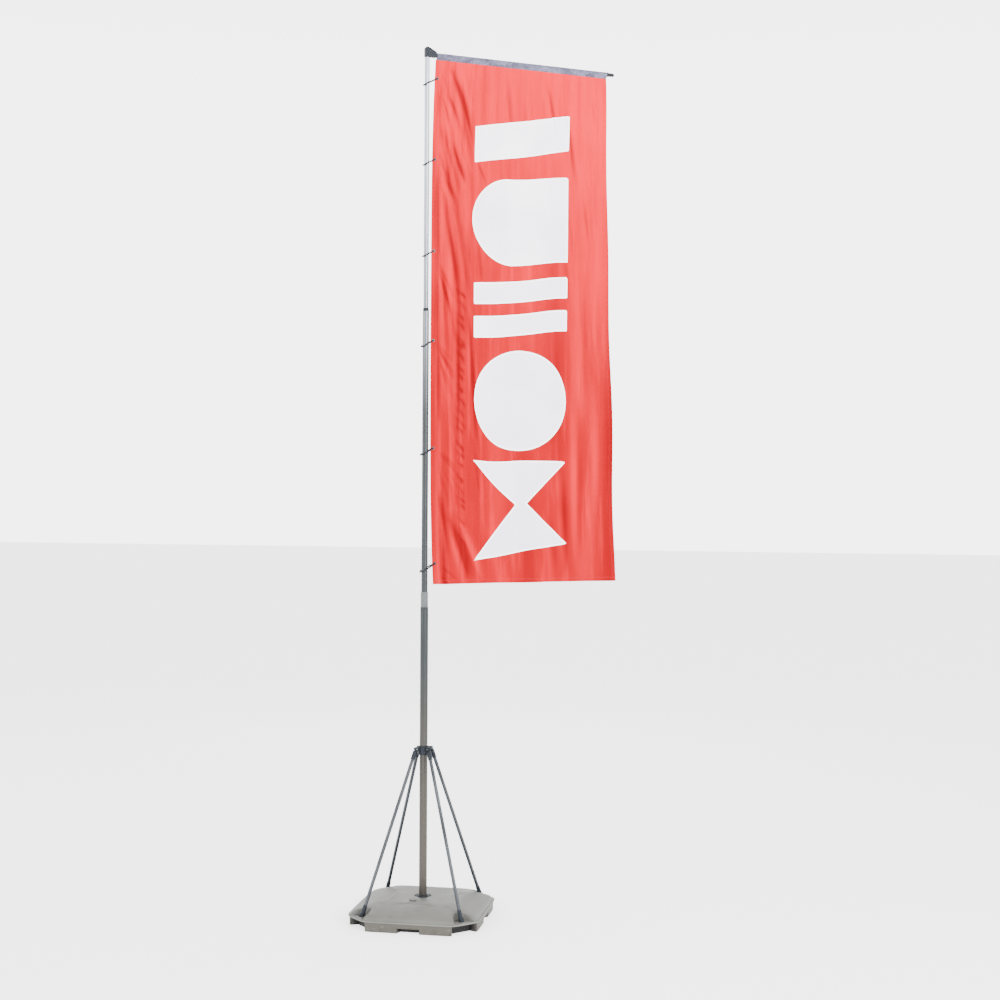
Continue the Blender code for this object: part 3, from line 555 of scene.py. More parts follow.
# %% Distance from the mast for each direction
TANK_HALF, TANK_DIAGONAL, TANK_HEIGHT = size("base_tank")[1][0], 0.452, size("base_tank")[1][2]
LIP_TOP, LIP_THICKNESS, LIP_REACH = 0.0635, 0.009, 0.008
DOME_IN, DOME_SPREAD = 0.205, 1.15
DISH_RADIUS, DISH_DEPTH, DISH_ROLL, BORE_RADIUS, BORE_FLOOR = 0.0475, 0.010, 0.004, 0.0298, 0.012
SCOOP_NEAR, SCOOP_HALF_ANGLE, HOLLOW_NEAR, HOLLOW_HALF = 0.352, np.radians(9.0), 0.390, 0.070
NOTCH_NEAR, NOTCH_HALF, NOTCH_TOP = 0.330, 0.056, 0.028
direction = np.linspace(0, 2 * np.pi, 720, endpoint=False)
off_side = (direction + np.pi / 4) % (np.pi / 2) - np.pi / 4
off_corner = direction % (np.pi / 2) - np.pi / 4


def least(distances, soft):
    """The nearest of several distances, blended softly where two of them meet:
    minus soft times the logarithm of the sum of exp(-distance / soft)."""
    low = np.min(distances, axis=0)
    return low - soft * np.log(np.sum(np.exp(-(np.array(distances) - low) / soft), axis=0))


def window(position, half, soft):
    """1 inside plus or minus half, 0 outside, and a smooth step of width soft between."""
    t = np.clip((half + soft / 2 - abs(position)) / soft, 0, 1)
    return t * t * (3 - 2 * t)


def outline(inset, further=0.0):
    """A square with cut corners, as the softly nearest of its eight sides in each direction.
    further is how far in the dome has come: the cut corners go in a little faster."""
    sides = []
    for k in range(8):
        straight, corner = TANK_HALF - inset - further, TANK_DIAGONAL - inset - DOME_SPREAD * further
        reach = straight if k % 2 == 0 else corner
        facing = np.cos(direction - k * np.pi / 4)
        sides.append(np.where(facing > 0.3, reach / np.maximum(facing, 0.3), 9.0))
    return least(sides, 0.011)


def tank_row(height, inset, further=0.0, scoop=0.0, hollow=0.0, notch=0.0, inner=0.0):
    """One level of the tank: its outline, less the scoops, hollows and notches that reach it.
    inner is how much smaller all of it is, for what lies inside the tank's wall."""
    reach = outline(inset + inner, further)
    widen = 1 + 1.5 * (height - LIP_TOP) + 8 * inner
    near = SCOOP_NEAR - inner + 0.10 * abs(off_corner / (SCOOP_HALF_ANGLE * widen)) ** 3.2
    reach = reach + scoop * (least([reach, near], 0.003) - reach)
    for share, off, start, half in ((hollow, off_corner, HOLLOW_NEAR, HOLLOW_HALF),
                                    (notch, off_side, NOTCH_NEAR, NOTCH_HALF)):
        near = (start - inner) / np.cos(off)
        inside = window(off, np.arctan((half + inner) / start), 0.02)
        reach = reach - share * inside * np.maximum(reach - near, 0)
    return reach, np.full(direction.size, float(height))


print("the tank's outline lies from", [round(float(end), 3) for end in (outline(0).min(), outline(0).max())])

# %% [markdown]
# The rows climb from the ground to the dome. Where an edge is tight, such as the lip's bead or the
# roof of a notch, the rows lie close together: that rounds the edge without any Bevel.

# %% The tank's skin, level by level
def dome(share):
    """Height of the dome for a share of the way in: a quick roll, 1 - exp(-s / 0.04), and then a
    long gentle rise, 1 - (1 - s)^1.75, a fifth of the first and four fifths of the second."""
    return 0.2 * (1 - np.exp(-share / 0.04)) + 0.8 * (1 - (1 - share) ** 1.75)


def tank_levels():
    """(distance, height) rows from the middle of the bottom up to the rim of the flat top."""
    body = LIP_REACH
    rows = [tank_row(0.0, body + 0.006, hollow=1, notch=1)]
    rows = [(rows[0][0] * share, rows[0][1]) for share in (0, 0.5, 0.9, 0.99)]
    for height, inset in ((0.0005, 0.0045), (0.002, 0.0018), (0.005, 0.0003),
                          (0.009, 0), (0.018, 0), (0.0255, 0)):
        rows.append(tank_row(height, body + inset, hollow=1, notch=1))
    rows.append(tank_row(NOTCH_TOP - 0.0006, body, hollow=1, notch=0.985))
    rows.append(tank_row(NOTCH_TOP, body, hollow=1, notch=0.93))
    rows.append(tank_row(NOTCH_TOP + 0.0002, body, hollow=1, notch=0.06))
    for height in (NOTCH_TOP + 0.001, 0.034, 0.044, 0.0515):
        rows.append(tank_row(height, body - 0.04 * (height - NOTCH_TOP), hollow=1))
    low = LIP_TOP - LIP_THICKNESS
    rows.append(tank_row(low - 0.0008, body - 0.002, hollow=0.985))
    rows.append(tank_row(low, 0.0045, hollow=0.93))
    rows.append(tank_row(low + 0.0001, 0.0030, hollow=0.04))
    half = LIP_THICKNESS / 2
    for angle in np.radians(np.arange(-60, 91, 25)):
        rows.append(tank_row(low + half + half * np.sin(angle), 0.0022 * (1 - np.cos(angle))))
    rows.append(tank_row(LIP_TOP, 0.0045, scoop=0.3))
    rows.append(tank_row(LIP_TOP - 0.0006, 0.0065, scoop=0.93))
    rows.append(tank_row(LIP_TOP - 0.0007, 0.0090, scoop=0.985))
    rows.append(tank_row(LIP_TOP + 0.0010, 0.0112, scoop=1))
    for share in np.linspace(0.02, 1, 34) ** 1.6:
        level = LIP_TOP + 0.001 + (TANK_HEIGHT - LIP_TOP - 0.001) * dome(share)
        rows.append(tank_row(level, 0.0115, DOME_IN * share, scoop=1))
    return rows


levels = tank_levels()
print("from the bottom up to the flat top:", len(levels), "levels")

# %% [markdown]
# The top runs in flat to a shallow dish round the mast, and the dish drops into the bore. From here
# on every row is a circle.

# %% The flat top, the dish and the bore
rim_reach = levels[-1][0]
for share in np.linspace(0, 1, 34)[1:]:
    reach = rim_reach + (DISH_RADIUS + DISH_ROLL - rim_reach) * share
    levels.append((reach, np.full(direction.size, TANK_HEIGHT)))
roll = [(DISH_RADIUS + DISH_ROLL - DISH_ROLL * np.sin(angle), TANK_HEIGHT - DISH_ROLL * (1 - np.cos(angle)))
        for angle in np.radians((30, 60, 90))]
floor = TANK_HEIGHT - DISH_DEPTH
dish = [(DISH_RADIUS, floor + 0.004), (DISH_RADIUS - 0.0012, floor + 0.0012), (DISH_RADIUS - 0.004, floor),
        (BORE_RADIUS + 0.002, floor), (BORE_RADIUS, floor - 0.002), (BORE_RADIUS, BORE_FLOOR),
        (0.0, BORE_FLOOR)]
for edge, height in roll + dish:
    levels.append((np.full(direction.size, edge), np.full(direction.size, height)))
reach = np.array([row[0] for row in levels])
height = np.array([row[1] for row in levels])
east, north = reach * np.cos(direction), reach * np.sin(direction)
print("the tank's grid is", reach.shape[0], "levels by", reach.shape[1], "directions")

# %% [markdown]
# The crease, the drop beyond it, two small moulded marks and a dip before each foot are taken off
# the height: each is a formula in the two distances from the mast, along and beside the nearest side.

# %% Crease and marks
CREASE_NEAR, CREASE_BOW, CREASE_REACH, PILLOW_DROP = 0.176, 2.1, 0.118, 0.0045
MARKS, MARK_HALF, FOOT_DIP = ((-0.150, -0.105), (0.118, -0.108)), 0.011, 0.285
upper = (height > LIP_TOP + 0.02) & (reach > 0.10)
along = np.maximum(abs(east), abs(north))
beside = np.minimum(abs(east), abs(north))
past = along - CREASE_NEAR - CREASE_BOW * beside ** 2
below = PILLOW_DROP * np.clip(past / 0.006 + 0.5, 0, 1) * np.exp(-np.clip(past, 0, 1) / 0.040)
groove = 0.0022 * np.exp(-(past / 0.0045) ** 2)
height = height - upper * (below + groove) * np.exp(-(beside / CREASE_REACH) ** 6)
for mark_east, mark_north in MARKS:
    away = np.hypot((east - mark_east) / 1.5, north - mark_north)
    height = height - upper * 0.0018 * np.exp(-(away / MARK_HALF) ** 4)
for corner in range(4):
    turn = np.pi / 4 + corner * np.pi / 2
    away = np.hypot(east * np.cos(turn) + north * np.sin(turn) - FOOT_DIP,
                    0.45 * (-east * np.sin(turn) + north * np.cos(turn)))
    height = height - upper * 0.0025 * np.exp(-(away / 0.022) ** 2)
base_tank = piece("base_tank", skin(np.stack([east, north, height], -1), around=True),
                  smooth_below=50, weld=False)
# How far into a hollow or notch below the lip a point lies: the finish paints shade with it.
painted_hollow_shade = np.clip((outline(LIP_REACH) - reach) / 0.015, 0, 1) * (height < LIP_TOP - LIP_THICKNESS)
shade = base_tank.data.attributes.new("painted_hollow_shade", "FLOAT", "POINT")
shade.data.foreach_set("value", painted_hollow_shade.ravel().astype(np.float32))
print("the tank has", len(base_tank.data.polygons), "faces")

# %% [markdown]
# The water fills the tank to below the top. Its skin is the tank's own outline, further in by the
# thickness of the wall, so it is made from the same rows and stays clear of every hollow.

# %% The water inside
water_low, water_high = size("water_ballast")
column, wall = DISH_RADIUS + 0.005, 0.0052
still = [(np.full(direction.size, column), np.full(direction.size, water_low[2])),
         tank_row(water_low[2], LIP_REACH + 0.006, hollow=1, notch=1, inner=wall)]
for level in (0.012, 0.024, NOTCH_TOP + wall):
    still.append(tank_row(level, LIP_REACH, hollow=1, notch=1, inner=wall))
for level in (NOTCH_TOP + wall + 0.0003, 0.045, 0.0575):
    still.append(tank_row(level, LIP_REACH + 0.001, scoop=1, hollow=1, inner=wall))
for share in np.linspace(0.04, 0.42, 12):
    level = LIP_TOP + (water_high[2] + wall - LIP_TOP) * dome(share) / dome(0.42) - wall
    still.append(tank_row(level, 0.0125, DOME_IN * share, scoop=1, inner=wall))
still.append((still[-1][0] * 0.97, np.full(direction.size, water_high[2])))
still.append((np.full(direction.size, column), np.full(direction.size, water_high[2])))
reach = np.array([row[0] for row in still])
level = np.array([row[1] for row in still])
water_grid = np.stack([reach * np.cos(direction), reach * np.sin(direction), level], -1)
piece("water_ballast", skin(water_grid, around=True, along=True), smooth_below=50)
print("water up to", round(float(water_high[2]), 3), "metres")

# %% [markdown]
# ## What goes into the tank
#
# A sleeve with a flange lines the bore that the mast stands in, and a low ribbed cap of the
# tank's own plastic closes the filling hole on a rubber ring. All are round, so each is one
# turned outline. Pieces that meet leave a gap of 0.3 mm, as the plain solids do.

# %% Sleeve, fill cap and gasket
GAP = 0.0003
sleeve_low, sleeve_high = size("socket_sleeve")
bore = size("mast_tube_lower")[1][0] + GAP
wall_out, flange, rim = bore + 0.0062, sleeve_high[0], sleeve_high[2]
sleeve = [(0, sleeve_low[2]), (wall_out, sleeve_low[2]), (wall_out, floor + GAP), (flange, floor + GAP),
          (flange, floor + 0.0043), (wall_out + 0.0015, floor + 0.007), (wall_out - 0.001, rim), (bore, rim),
          (bore, sleeve_low[2] + 0.005), (0, sleeve_low[2] + 0.005)]
piece("socket_sleeve", turned(sleeve, radius=0.0015, closed=False, sides=96))
cap_low, cap_high = size("fill_cap")
cap_middle = (*(cap_low + cap_high)[:2] / 2, 0)
cap_radius, plug = (cap_high[0] - cap_low[0]) / 2, 0.016
seat = TANK_HEIGHT + 0.0024
cap_top, cap_dip = cap_high[2], cap_high[2] - 0.0015
cap = [(0, cap_low[2]), (plug, cap_low[2]), (plug, seat), (cap_radius, seat), (cap_radius, cap_top),
       (cap_radius - 0.005, cap_top), (cap_radius - 0.0065, cap_dip), (0, cap_dip)]
piece("fill_cap", turned(cap, radius=0.0016, closed=False, sides=192, centre=cap_middle, ribs=(32, 0.0009)))
gasket_low, gasket_high = size("fill_cap_gasket")
ring = (gasket_high[0] - gasket_low[0]) / 2
piece("fill_cap_gasket", turned(pipe(ring - 0.004, ring, gasket_low[2], gasket_high[2]), centre=cap_middle))
print("the fill cap is", round(2000 * float(cap_radius)), "mm across")

# %% [markdown]
# ## Mast tubes, nuts and inner fittings
#
# Three tubes slide into each other. A collet in the end of each tube is squeezed by a twist nut.
# The tubes are long and thin, so a mesh of many sides and few rows is enough: only the rims need
# more rows. The inner fittings show at the joints and when the mast is drawn apart.

# %% The tubes
TUBE_WALL, FIT = 0.0015, 0.0004
for name in ("lower", "middle", "upper"):
    low, high = size(f"mast_tube_{name}")
    wall = pipe(high[0] - TUBE_WALL, high[0], low[2], high[2])
    piece(f"mast_tube_{name}", turned(wall, radius=0.0006, sides=96))
across = [round(2000 * float(size(f"mast_tube_{name}")[1][0])) for name in ("lower", "middle", "upper")]
print("the tubes are", across, "mm across")

# %% [markdown]
# A nut is a ribbed sleeve, and the collet under it has a collar that rests on the tube's end. Both
# take their radius from the tube that slides through them, so that it has its clearance.

# %% The lock nuts and their collets
for name, outside, sliding, ribs in (("lower", "lower", "middle", 36), ("upper", "middle", "upper", 24)):
    low, high = size(f"lock_nut_{name}")
    inner, outer = size(f"mast_tube_{sliding}")[1][0] + FIT, high[0]
    wide, lip = outer - 0.00135, high[2] - 0.1 * (high[2] - low[2])
    nut = [(wide, low[2]), (outer, low[2]), (outer, high[2] - 0.0012), (outer - 0.0010, high[2]),
           (inner, high[2]), (inner, lip), (wide, lip)]
    piece(f"lock_nut_{name}", turned(nut, radius=0.0008, sides=216, ribs=(ribs, 0.0007)))
    low, high = size(f"clamp_insert_{name}")
    tube_end = size(f"mast_tube_{outside}")[1][2]
    seat = high[0] - TUBE_WALL
    collet = [(inner, low[2]), (seat, low[2]), (seat, tube_end + GAP), (high[0], tube_end + GAP),
              (high[0], tube_end + 0.0033), (inner + 0.001, tube_end + 0.0033), (inner + 0.001, high[2]),
              (inner, high[2])]
    piece(f"clamp_insert_{name}", turned(collet, sides=72))
print("the longer nut is", round(1000 * float(np.diff(size("lock_nut_lower"), axis=0)[0, 2])), "mm long")

# %% [markdown]
# These fit inside the tubes. Each is a plug with a small flange, turned in one piece. A part cut in
# two and joined would show a seam where the mast is drawn apart.

# %% The bushes, the foot plug and the head's spigot
for name in ("middle", "upper"):
    low, high = size(f"guide_bush_{name}")
    tube_low, tube = size(f"mast_tube_{name}")
    bush = [(tube[0] - 0.006, low[2]), (high[0], low[2]), (high[0], high[2]), (tube[0] + GAP, high[2]),
            (tube[0] + GAP, tube_low[2] - GAP), (tube[0] - 0.006, tube_low[2] - GAP)]
    piece(f"guide_bush_{name}", turned(bush, sides=72))
low, high = size("mast_foot_plug")
plug, flange_top = high[0] - TUBE_WALL - GAP, low[2] + 0.0034
piece("mast_foot_plug", turned([(0, low[2]), (high[0], low[2]), (high[0], flange_top), (plug, flange_top),
                                (plug, high[2]), (0, high[2])], closed=False))
SPIGOT_RADIUS = 0.008
low, high = size("head_spigot")
plug, tube_end = high[0] - TUBE_WALL - GAP, size("mast_tube_upper")[1][2] + GAP
piece("head_spigot", turned([(0, low[2]), (plug, low[2]), (plug, tube_end), (high[0], tube_end),
                             (high[0], tube_end + 0.003), (SPIGOT_RADIUS, tube_end + 0.003),
                             (SPIGOT_RADIUS, high[2]), (0, high[2])], closed=False))
print("the mast is", round(size("mast_tube_upper")[1][2], 3), "metres tall")

# %% [markdown]
# ## The hub and the stays
#
# The hub slides on the lower tube and is held by a thumb screw. It has a pair of fork plates for
# each stay, with a pin through them. A stay is a tube between an eye and a rubber-like foot that
# stands on the corner web of the tank. Each is made once, along its own line, for four corners.

# %% The hub with its forks
PIN_REACH, PIN_HEIGHT, FORK_ROUND, FORK_GAP, FORK_PLATE = 0.052, 0.975, 0.010, 0.009, 0.005
HUB_WALL, SCREW_HEIGHT = 0.031, 0.965
low, high = size("mast_tube_lower")
hub_bore, hub_low, hub_top = high[0] + FIT, size("stay_hub")[0][2], size("stay_hub")[1][2]
hub = [turned([(hub_bore, hub_low), (HUB_WALL + 0.002, hub_low), (HUB_WALL + 0.003, hub_low + 0.004),
               (HUB_WALL + 0.003, hub_low + 0.020), (HUB_WALL, hub_low + 0.026), (HUB_WALL, hub_top - 0.003),
               (HUB_WALL - 0.003, hub_top), (hub_bore, hub_top)], radius=0.002, sides=96)]
fork_side = [(HUB_WALL - 0.003, -FORK_ROUND), (PIN_REACH, -FORK_ROUND)]
swing = np.radians(np.arange(-75, 76, 15))
fork_side += list(zip(PIN_REACH + FORK_ROUND * np.cos(swing), FORK_ROUND * np.sin(swing)))
fork_side += [(PIN_REACH, FORK_ROUND), (HUB_WALL - 0.003, FORK_ROUND)]


def corner_ways(turn):
    """For a corner at that turn: the level way out to it, and the level way across."""
    return np.array([np.cos(turn), np.sin(turn), 0]), np.array([-np.sin(turn), np.cos(turn), 0])


corners = np.pi / 4 + np.pi / 2 * np.arange(4)
for turn in corners:
    outward, side = corner_ways(turn)
    for way in (-1, 1):
        middle = side * way * (FORK_GAP + FORK_PLATE) / 2 + np.array([0, 0, PIN_HEIGHT])
        hub.append(plate(fork_side, FORK_PLATE / 2, 0.001, 0.001, centre=middle, across=outward))
boss = [(0, HUB_WALL - 0.004), (0.010, HUB_WALL - 0.004), (0.010, HUB_WALL + 0.007), (0, HUB_WALL + 0.007)]
hub.append(turned(boss, radius=0.0012, closed=False, centre=(0, 0, SCREW_HEIGHT), axis=(0, 1, 0)))
piece("stay_hub", *hub)
print("the hub is made of", len(hub), "skins")

# %% [markdown]
# A pin is a thin rod with a head at each end, just clear of the fork plates. The screw's knob has
# nine deep grips: the same ribs as on the nuts, only fewer and deeper.

# %% The pins and the thumb screw
PIN_RADIUS, PIN_HEAD, HEAD_DEEP = 0.0025, 0.0042, 0.002
head = FORK_GAP / 2 + FORK_PLATE + GAP
pin = [(0, -head - HEAD_DEEP), (PIN_HEAD, -head - HEAD_DEEP), (PIN_HEAD, -head), (PIN_RADIUS, -head),
       (PIN_RADIUS, head), (PIN_HEAD, head), (PIN_HEAD, head + HEAD_DEEP), (0, head + HEAD_DEEP)]
for number, turn in enumerate(corners, 1):
    piece(f"stay_pin_{number}",
          turned(pin, closed=False, sides=32, axis=(-np.sin(turn), np.cos(turn), 0),
                 centre=(PIN_REACH * np.cos(turn), PIN_REACH * np.sin(turn), PIN_HEIGHT)))
low, high = size("hub_thumb_screw")
knob = (high[0] - low[0]) / 2
screw = [(0, low[1]), (0.003, low[1]), (0.003, high[1] - 0.013), (knob - 0.002, high[1] - 0.013),
         (knob, high[1] - 0.011), (knob, high[1] - 0.002), (knob - 0.003, high[1]), (0, high[1])]
piece("hub_thumb_screw", turned(screw, radius=0.0012, closed=False, sides=144, ribs=(9, 0.0016),
                                centre=(0, 0, SCREW_HEIGHT), axis=(0, 1, 0)))
print("the hub's pins are", 2 * PIN_REACH, "metres apart, at a height of", PIN_HEIGHT)

# %% [markdown]
# Each stay leans from its pin to its foot. All of it is worked out along that line, so the rod, its
# two end fittings and the sole stay in line at every corner.

# %% The four stays
FOOT_REACH, WEB_TOP, ROD_RADIUS, ROD_WALL = 0.404, 0.0628, 0.0098, 0.0012
FERRULE_RADIUS, FERRULE_LENGTH = 0.0125, 0.050
down, out = PIN_HEIGHT - WEB_TOP, FOOT_REACH - PIN_REACH
stay_length = np.hypot(down, out)
start, eye_half = FORK_ROUND + 0.002, FORK_GAP / 2 - GAP
for number, turn in enumerate(corners, 1):
    outward, side = corner_ways(turn)
    pin = outward * PIN_REACH + np.array([0, 0, PIN_HEIGHT])
    line = (outward * out - np.array([0, 0, down])) / stay_length
    ferrule = turned([(0, start), (FERRULE_RADIUS - 0.002, start), (FERRULE_RADIUS, start + 0.004),
                      (FERRULE_RADIUS, start + FERRULE_LENGTH), (ROD_RADIUS + GAP, start + FERRULE_LENGTH),
                      (ROD_RADIUS + GAP, start + 0.008), (0, start + 0.008)], radius=0.001, closed=False,
                     sides=48, centre=pin, axis=line)
    barrel = turned([(0, -eye_half), (0.008, -eye_half), (0.008, eye_half), (0, eye_half)], closed=False,
                    sides=48, centre=pin, axis=side)
    neck = [(-0.006, 0), (0.006, 0), (0.006, -start - 0.003), (-0.006, -start - 0.003)]
    neck_points, neck_faces = plate(neck, eye_half - 0.0004, 0.0008, 0.001)
    neck_points = place(neck_points, pin, axis=-line, across=outward)
    piece(f"stay_eye_{number}", ferrule, barrel, (neck_points, neck_faces))
    rod_start, rod_end = start + 0.0083, stay_length - 0.030
    piece(f"stay_rod_{number}", turned(pipe(ROD_RADIUS - ROD_WALL, ROD_RADIUS, rod_start, rod_end),
                                       sides=48, centre=pin, axis=line))
    cup_top, cup_low = rod_end - 0.035, stay_length - 0.013
    cup = turned([(0, rod_end + GAP), (ROD_RADIUS + GAP, rod_end + GAP), (ROD_RADIUS + GAP, cup_top),
                  (FERRULE_RADIUS - 0.001, cup_top), (FERRULE_RADIUS + 0.001, cup_low), (0, cup_low)],
                 radius=0.0012, closed=False, sides=48, centre=pin, axis=line)
    sole = turned([(0, 0), (0.016, 0), (0.016, 0.004), (0.014, 0.007), (0.0125, 0.019), (0, 0.019)],
                  radius=0.003, closed=False, sides=64,
                  centre=outward * FOOT_REACH + np.array([0, 0, WEB_TOP + GAP]))
    piece(f"stay_foot_{number}", cup, sole)
print("each stay is", round(stay_length, 3), "metres from pin to foot")

# %% [markdown]
# ## The head and the arm
#
# A moulded wedge turns on the mast's spigot and carries the arm. Its side view is an upright
# edge, a peak over the mast and a slope down to the arm, so it is an extruded outline with
# rounded edges. The arm is a plain tube with a tapered end cap.
# The head has turned away from the front, and that turn is measured on the end cap's place.

# %% Which way the arm points
low, high = size("arm_end_cap")
arm_way = np.array([*(low + high)[:2], 0])
arm_way /= np.linalg.norm(arm_way)
arm_height = (low[2] + high[2]) / 2
back_way = np.array([-arm_way[1], arm_way[0], 0])


def beside_arm(points):
    """Local x along the arm, y behind it and z up, turned with the head."""
    return place(points, across=arm_way)


print("the head is turned by", round(float(np.degrees(np.arctan2(arm_way[1], arm_way[0]))), 1), "degrees")

# %% [markdown]
# The wedge's outline is the side view of the real moulding. It gets its thickness across the arm,
# with a rim rounded by 3 mm. Everything else on the arm is turned about the arm's own line.

# %% Head, arm, screw and end cap
ARM_RADIUS, ARM_START, ARM_END = 0.010, 0.0203, 1.150
low, high = size("head_elbow")
ELBOW_BACK, ELBOW_REACH, ELBOW_HALF = 0.0145, 0.055, 0.015
wedge = [(-ELBOW_BACK, low[2]), (ELBOW_REACH, low[2]), (ELBOW_REACH, high[2] - 0.026), (0.004, high[2]),
         (-0.008, high[2]), (-ELBOW_BACK, high[2] - 0.010)]
collar = pipe(ARM_RADIUS + FIT, ARM_RADIUS + 0.0026, ELBOW_REACH - 0.004, ELBOW_REACH + 0.003)
piece("head_elbow", plate(wedge, ELBOW_HALF, 0.003, 0.004, across=arm_way),
      turned(collar, radius=0.001, centre=(0, 0, arm_height), axis=arm_way))
piece("arm_tube", turned(pipe(ARM_RADIUS - TUBE_WALL, ARM_RADIUS, ARM_START, ARM_END), sides=64,
                         centre=(0, 0, arm_height), axis=arm_way))
screw_low, screw_high = size("arm_screw")
screw_at = (*(screw_low + screw_high)[:2] / 2, 0)
head_top, SCREW_HEAD, SCREW_RADIUS = screw_low[2] + 0.0027, 0.004, 0.0019
screw = [(0, screw_low[2]), (SCREW_HEAD, screw_low[2]), (SCREW_HEAD, head_top), (SCREW_RADIUS, head_top),
         (SCREW_RADIUS, screw_high[2]), (0, screw_high[2])]
piece("arm_screw", turned(screw, closed=False, sides=32, centre=screw_at))
cap_start, cap_end, cap_out = ARM_END - 0.004, 1.195, ARM_RADIUS + 0.0024
cap = [(0, ARM_END + GAP), (ARM_RADIUS + GAP, ARM_END + GAP), (ARM_RADIUS + GAP, cap_start),
       (cap_out, cap_start), (cap_out, cap_start + 0.008), (cap_out - 0.0012, cap_start + 0.010),
       (cap_out - 0.0025, cap_end - 0.004), (cap_out - 0.006, cap_end), (0, cap_end)]
piece("arm_end_cap", turned(cap, radius=0.0025, closed=False, sides=72,
                            centre=(0, 0, arm_height), axis=arm_way))
print("the arm reaches", cap_end, "metres from the mast's middle")

# %% [markdown]
# ## Tie rings and eyelets
#
# Six plastic loops tie the banner's edge to the mast. Each one goes round the mast like a belt
# round a large and a small wheel: the mast, and the inside of its eyelet. It slopes up towards
# the cloth. The belt line is worked out first, and a small circle is then carried along it.

# %% Tie rings
EDGE_NEAR, EDGE_FAR, BANNER_DROP = 0.030, 0.052, 3.016
EYELET_INSET, EYELET_HOLE, EYELET_RIM = 0.016, 0.0045, 0.0095
EYELET_NECK, EYELET_FRONT, EYELET_BACK, EYELET_METAL = 0.0061, 0.0017, 0.0015, 0.0008
RING_LINE, RING_ROD, RING_TURN, RING_SLOPE = 0.0042, 0.0038, 0.0075, np.tan(np.radians(28))
POCKET_DROP = 0.0265
banner_top = arm_height - POCKET_DROP - GAP


def edge_near_mast(share):
    """The banner's edge beside the mast: near halfway down, and further out at both ends."""
    return EDGE_NEAR + (EDGE_FAR - EDGE_NEAR) * (2 * share - 1) ** 4


def tie_ring(eyelet_x, height, passes):
    """A belt of two arcs, sloped by z = slope (x - eyelet), with a circle carried along it.
    passes is the radius of the tube that the ring goes round."""
    big = passes + RING_LINE
    middle = eyelet_x - RING_TURN
    split = np.arccos((big - RING_TURN) / middle)
    wide, tight = np.linspace(split, 2 * np.pi - split, 72), np.linspace(-split, split, 30)
    facing = np.concatenate([wide, tight])
    x = np.concatenate([big * np.cos(wide), middle + RING_TURN * np.cos(tight)])
    y = np.concatenate([big * np.sin(wide), RING_TURN * np.sin(tight)])
    line = np.stack([x, y, height + (x - eyelet_x) * RING_SLOPE], -1)
    outward = np.stack([np.cos(facing), np.sin(facing), 0 * facing], -1)
    onward = np.stack([-np.sin(facing), np.cos(facing), -np.sin(facing) * RING_SLOPE], -1)
    third = np.cross(outward, onward)
    third /= np.linalg.norm(third, axis=1, keepdims=True)
    outward = np.cross(onward, third)
    outward /= np.linalg.norm(outward, axis=1, keepdims=True)
    round_way = np.linspace(0, 2 * np.pi, 16, endpoint=False)[None, :, None]
    circle = np.cos(round_way) * outward[:, None] + np.sin(round_way) * third[:, None]
    return skin(beside_arm(line[:, None] + RING_ROD * circle), around=True, along=True)


before, behind = -EYELET_FRONT + EYELET_METAL, EYELET_BACK + EYELET_METAL
eyelet = [(EYELET_HOLE, -EYELET_FRONT), (EYELET_RIM, -EYELET_FRONT), (EYELET_RIM, before),
          (EYELET_NECK, before), (EYELET_NECK, EYELET_BACK), (EYELET_RIM, EYELET_BACK),
          (EYELET_RIM, behind), (EYELET_HOLE, behind)]
ring_heights = []
for number in range(1, 7):
    low, high = size(f"grommet_{number}")
    level = (low[2] + high[2]) / 2
    ring_heights.append(level)
    eyelet_x = edge_near_mast((banner_top - level) / BANNER_DROP) + EYELET_INSET
    passes = size("mast_tube_middle" if number <= 3 else "mast_tube_lower")[1][0]
    piece(f"tie_ring_{number}", tie_ring(eyelet_x, level, passes))
    piece(f"grommet_{number}", turned(eyelet, radius=0.0007, sides=48, axis=back_way,
                                      centre=beside_arm(np.array([eyelet_x, 0, level]))))
print("tie rings at", [round(float(level), 3) for level in ring_heights])

# %% [markdown]
# ## The banner's cloth
#
# The banner is knitted polyester, sewn to a pocket at its top and held by eyelets down one edge.
# Its own weight and the pull of the eyelets draw steep creases across the side next to the mast,
# small puckers follow a sewn seam, and soft waves cross the free side.
# A cloth simulation finds folds of its own, different for every mesh. These folds have known
# places, so each one is a formula: a ridge along a line, steep on one side and gentle on the
# other, that fades at both ends. The grid is finer next to the mast, where the folds are small.

# %% The banner's outline as a grid
EDGE_FREE_TOP, EDGE_FREE_BOTTOM, CLOTH, SEAM_TUCK = 1.142, 1.216, 0.001, 0.0022
COLUMNS, ROWS = 132, 312
t = np.linspace(0, 1, COLUMNS)[None, :]
across = t * (0.6 + 0.4 * t)
down_share = np.linspace(0, 1, ROWS)[:, None]
edge_left = edge_near_mast(down_share)
edge_right = EDGE_FREE_TOP + (EDGE_FREE_BOTTOM - EDGE_FREE_TOP) * down_share
from_edge = across * (edge_right - edge_left)
from_top = down_share * BANNER_DROP + 0 * across
print("banner grid:", ROWS, "by", COLUMNS)


# %% [markdown]
# The long folds come first. Most sink away from the front and lean down and outwards, the way the
# eyelets pull the cloth. Their places are a table, since each one is different.

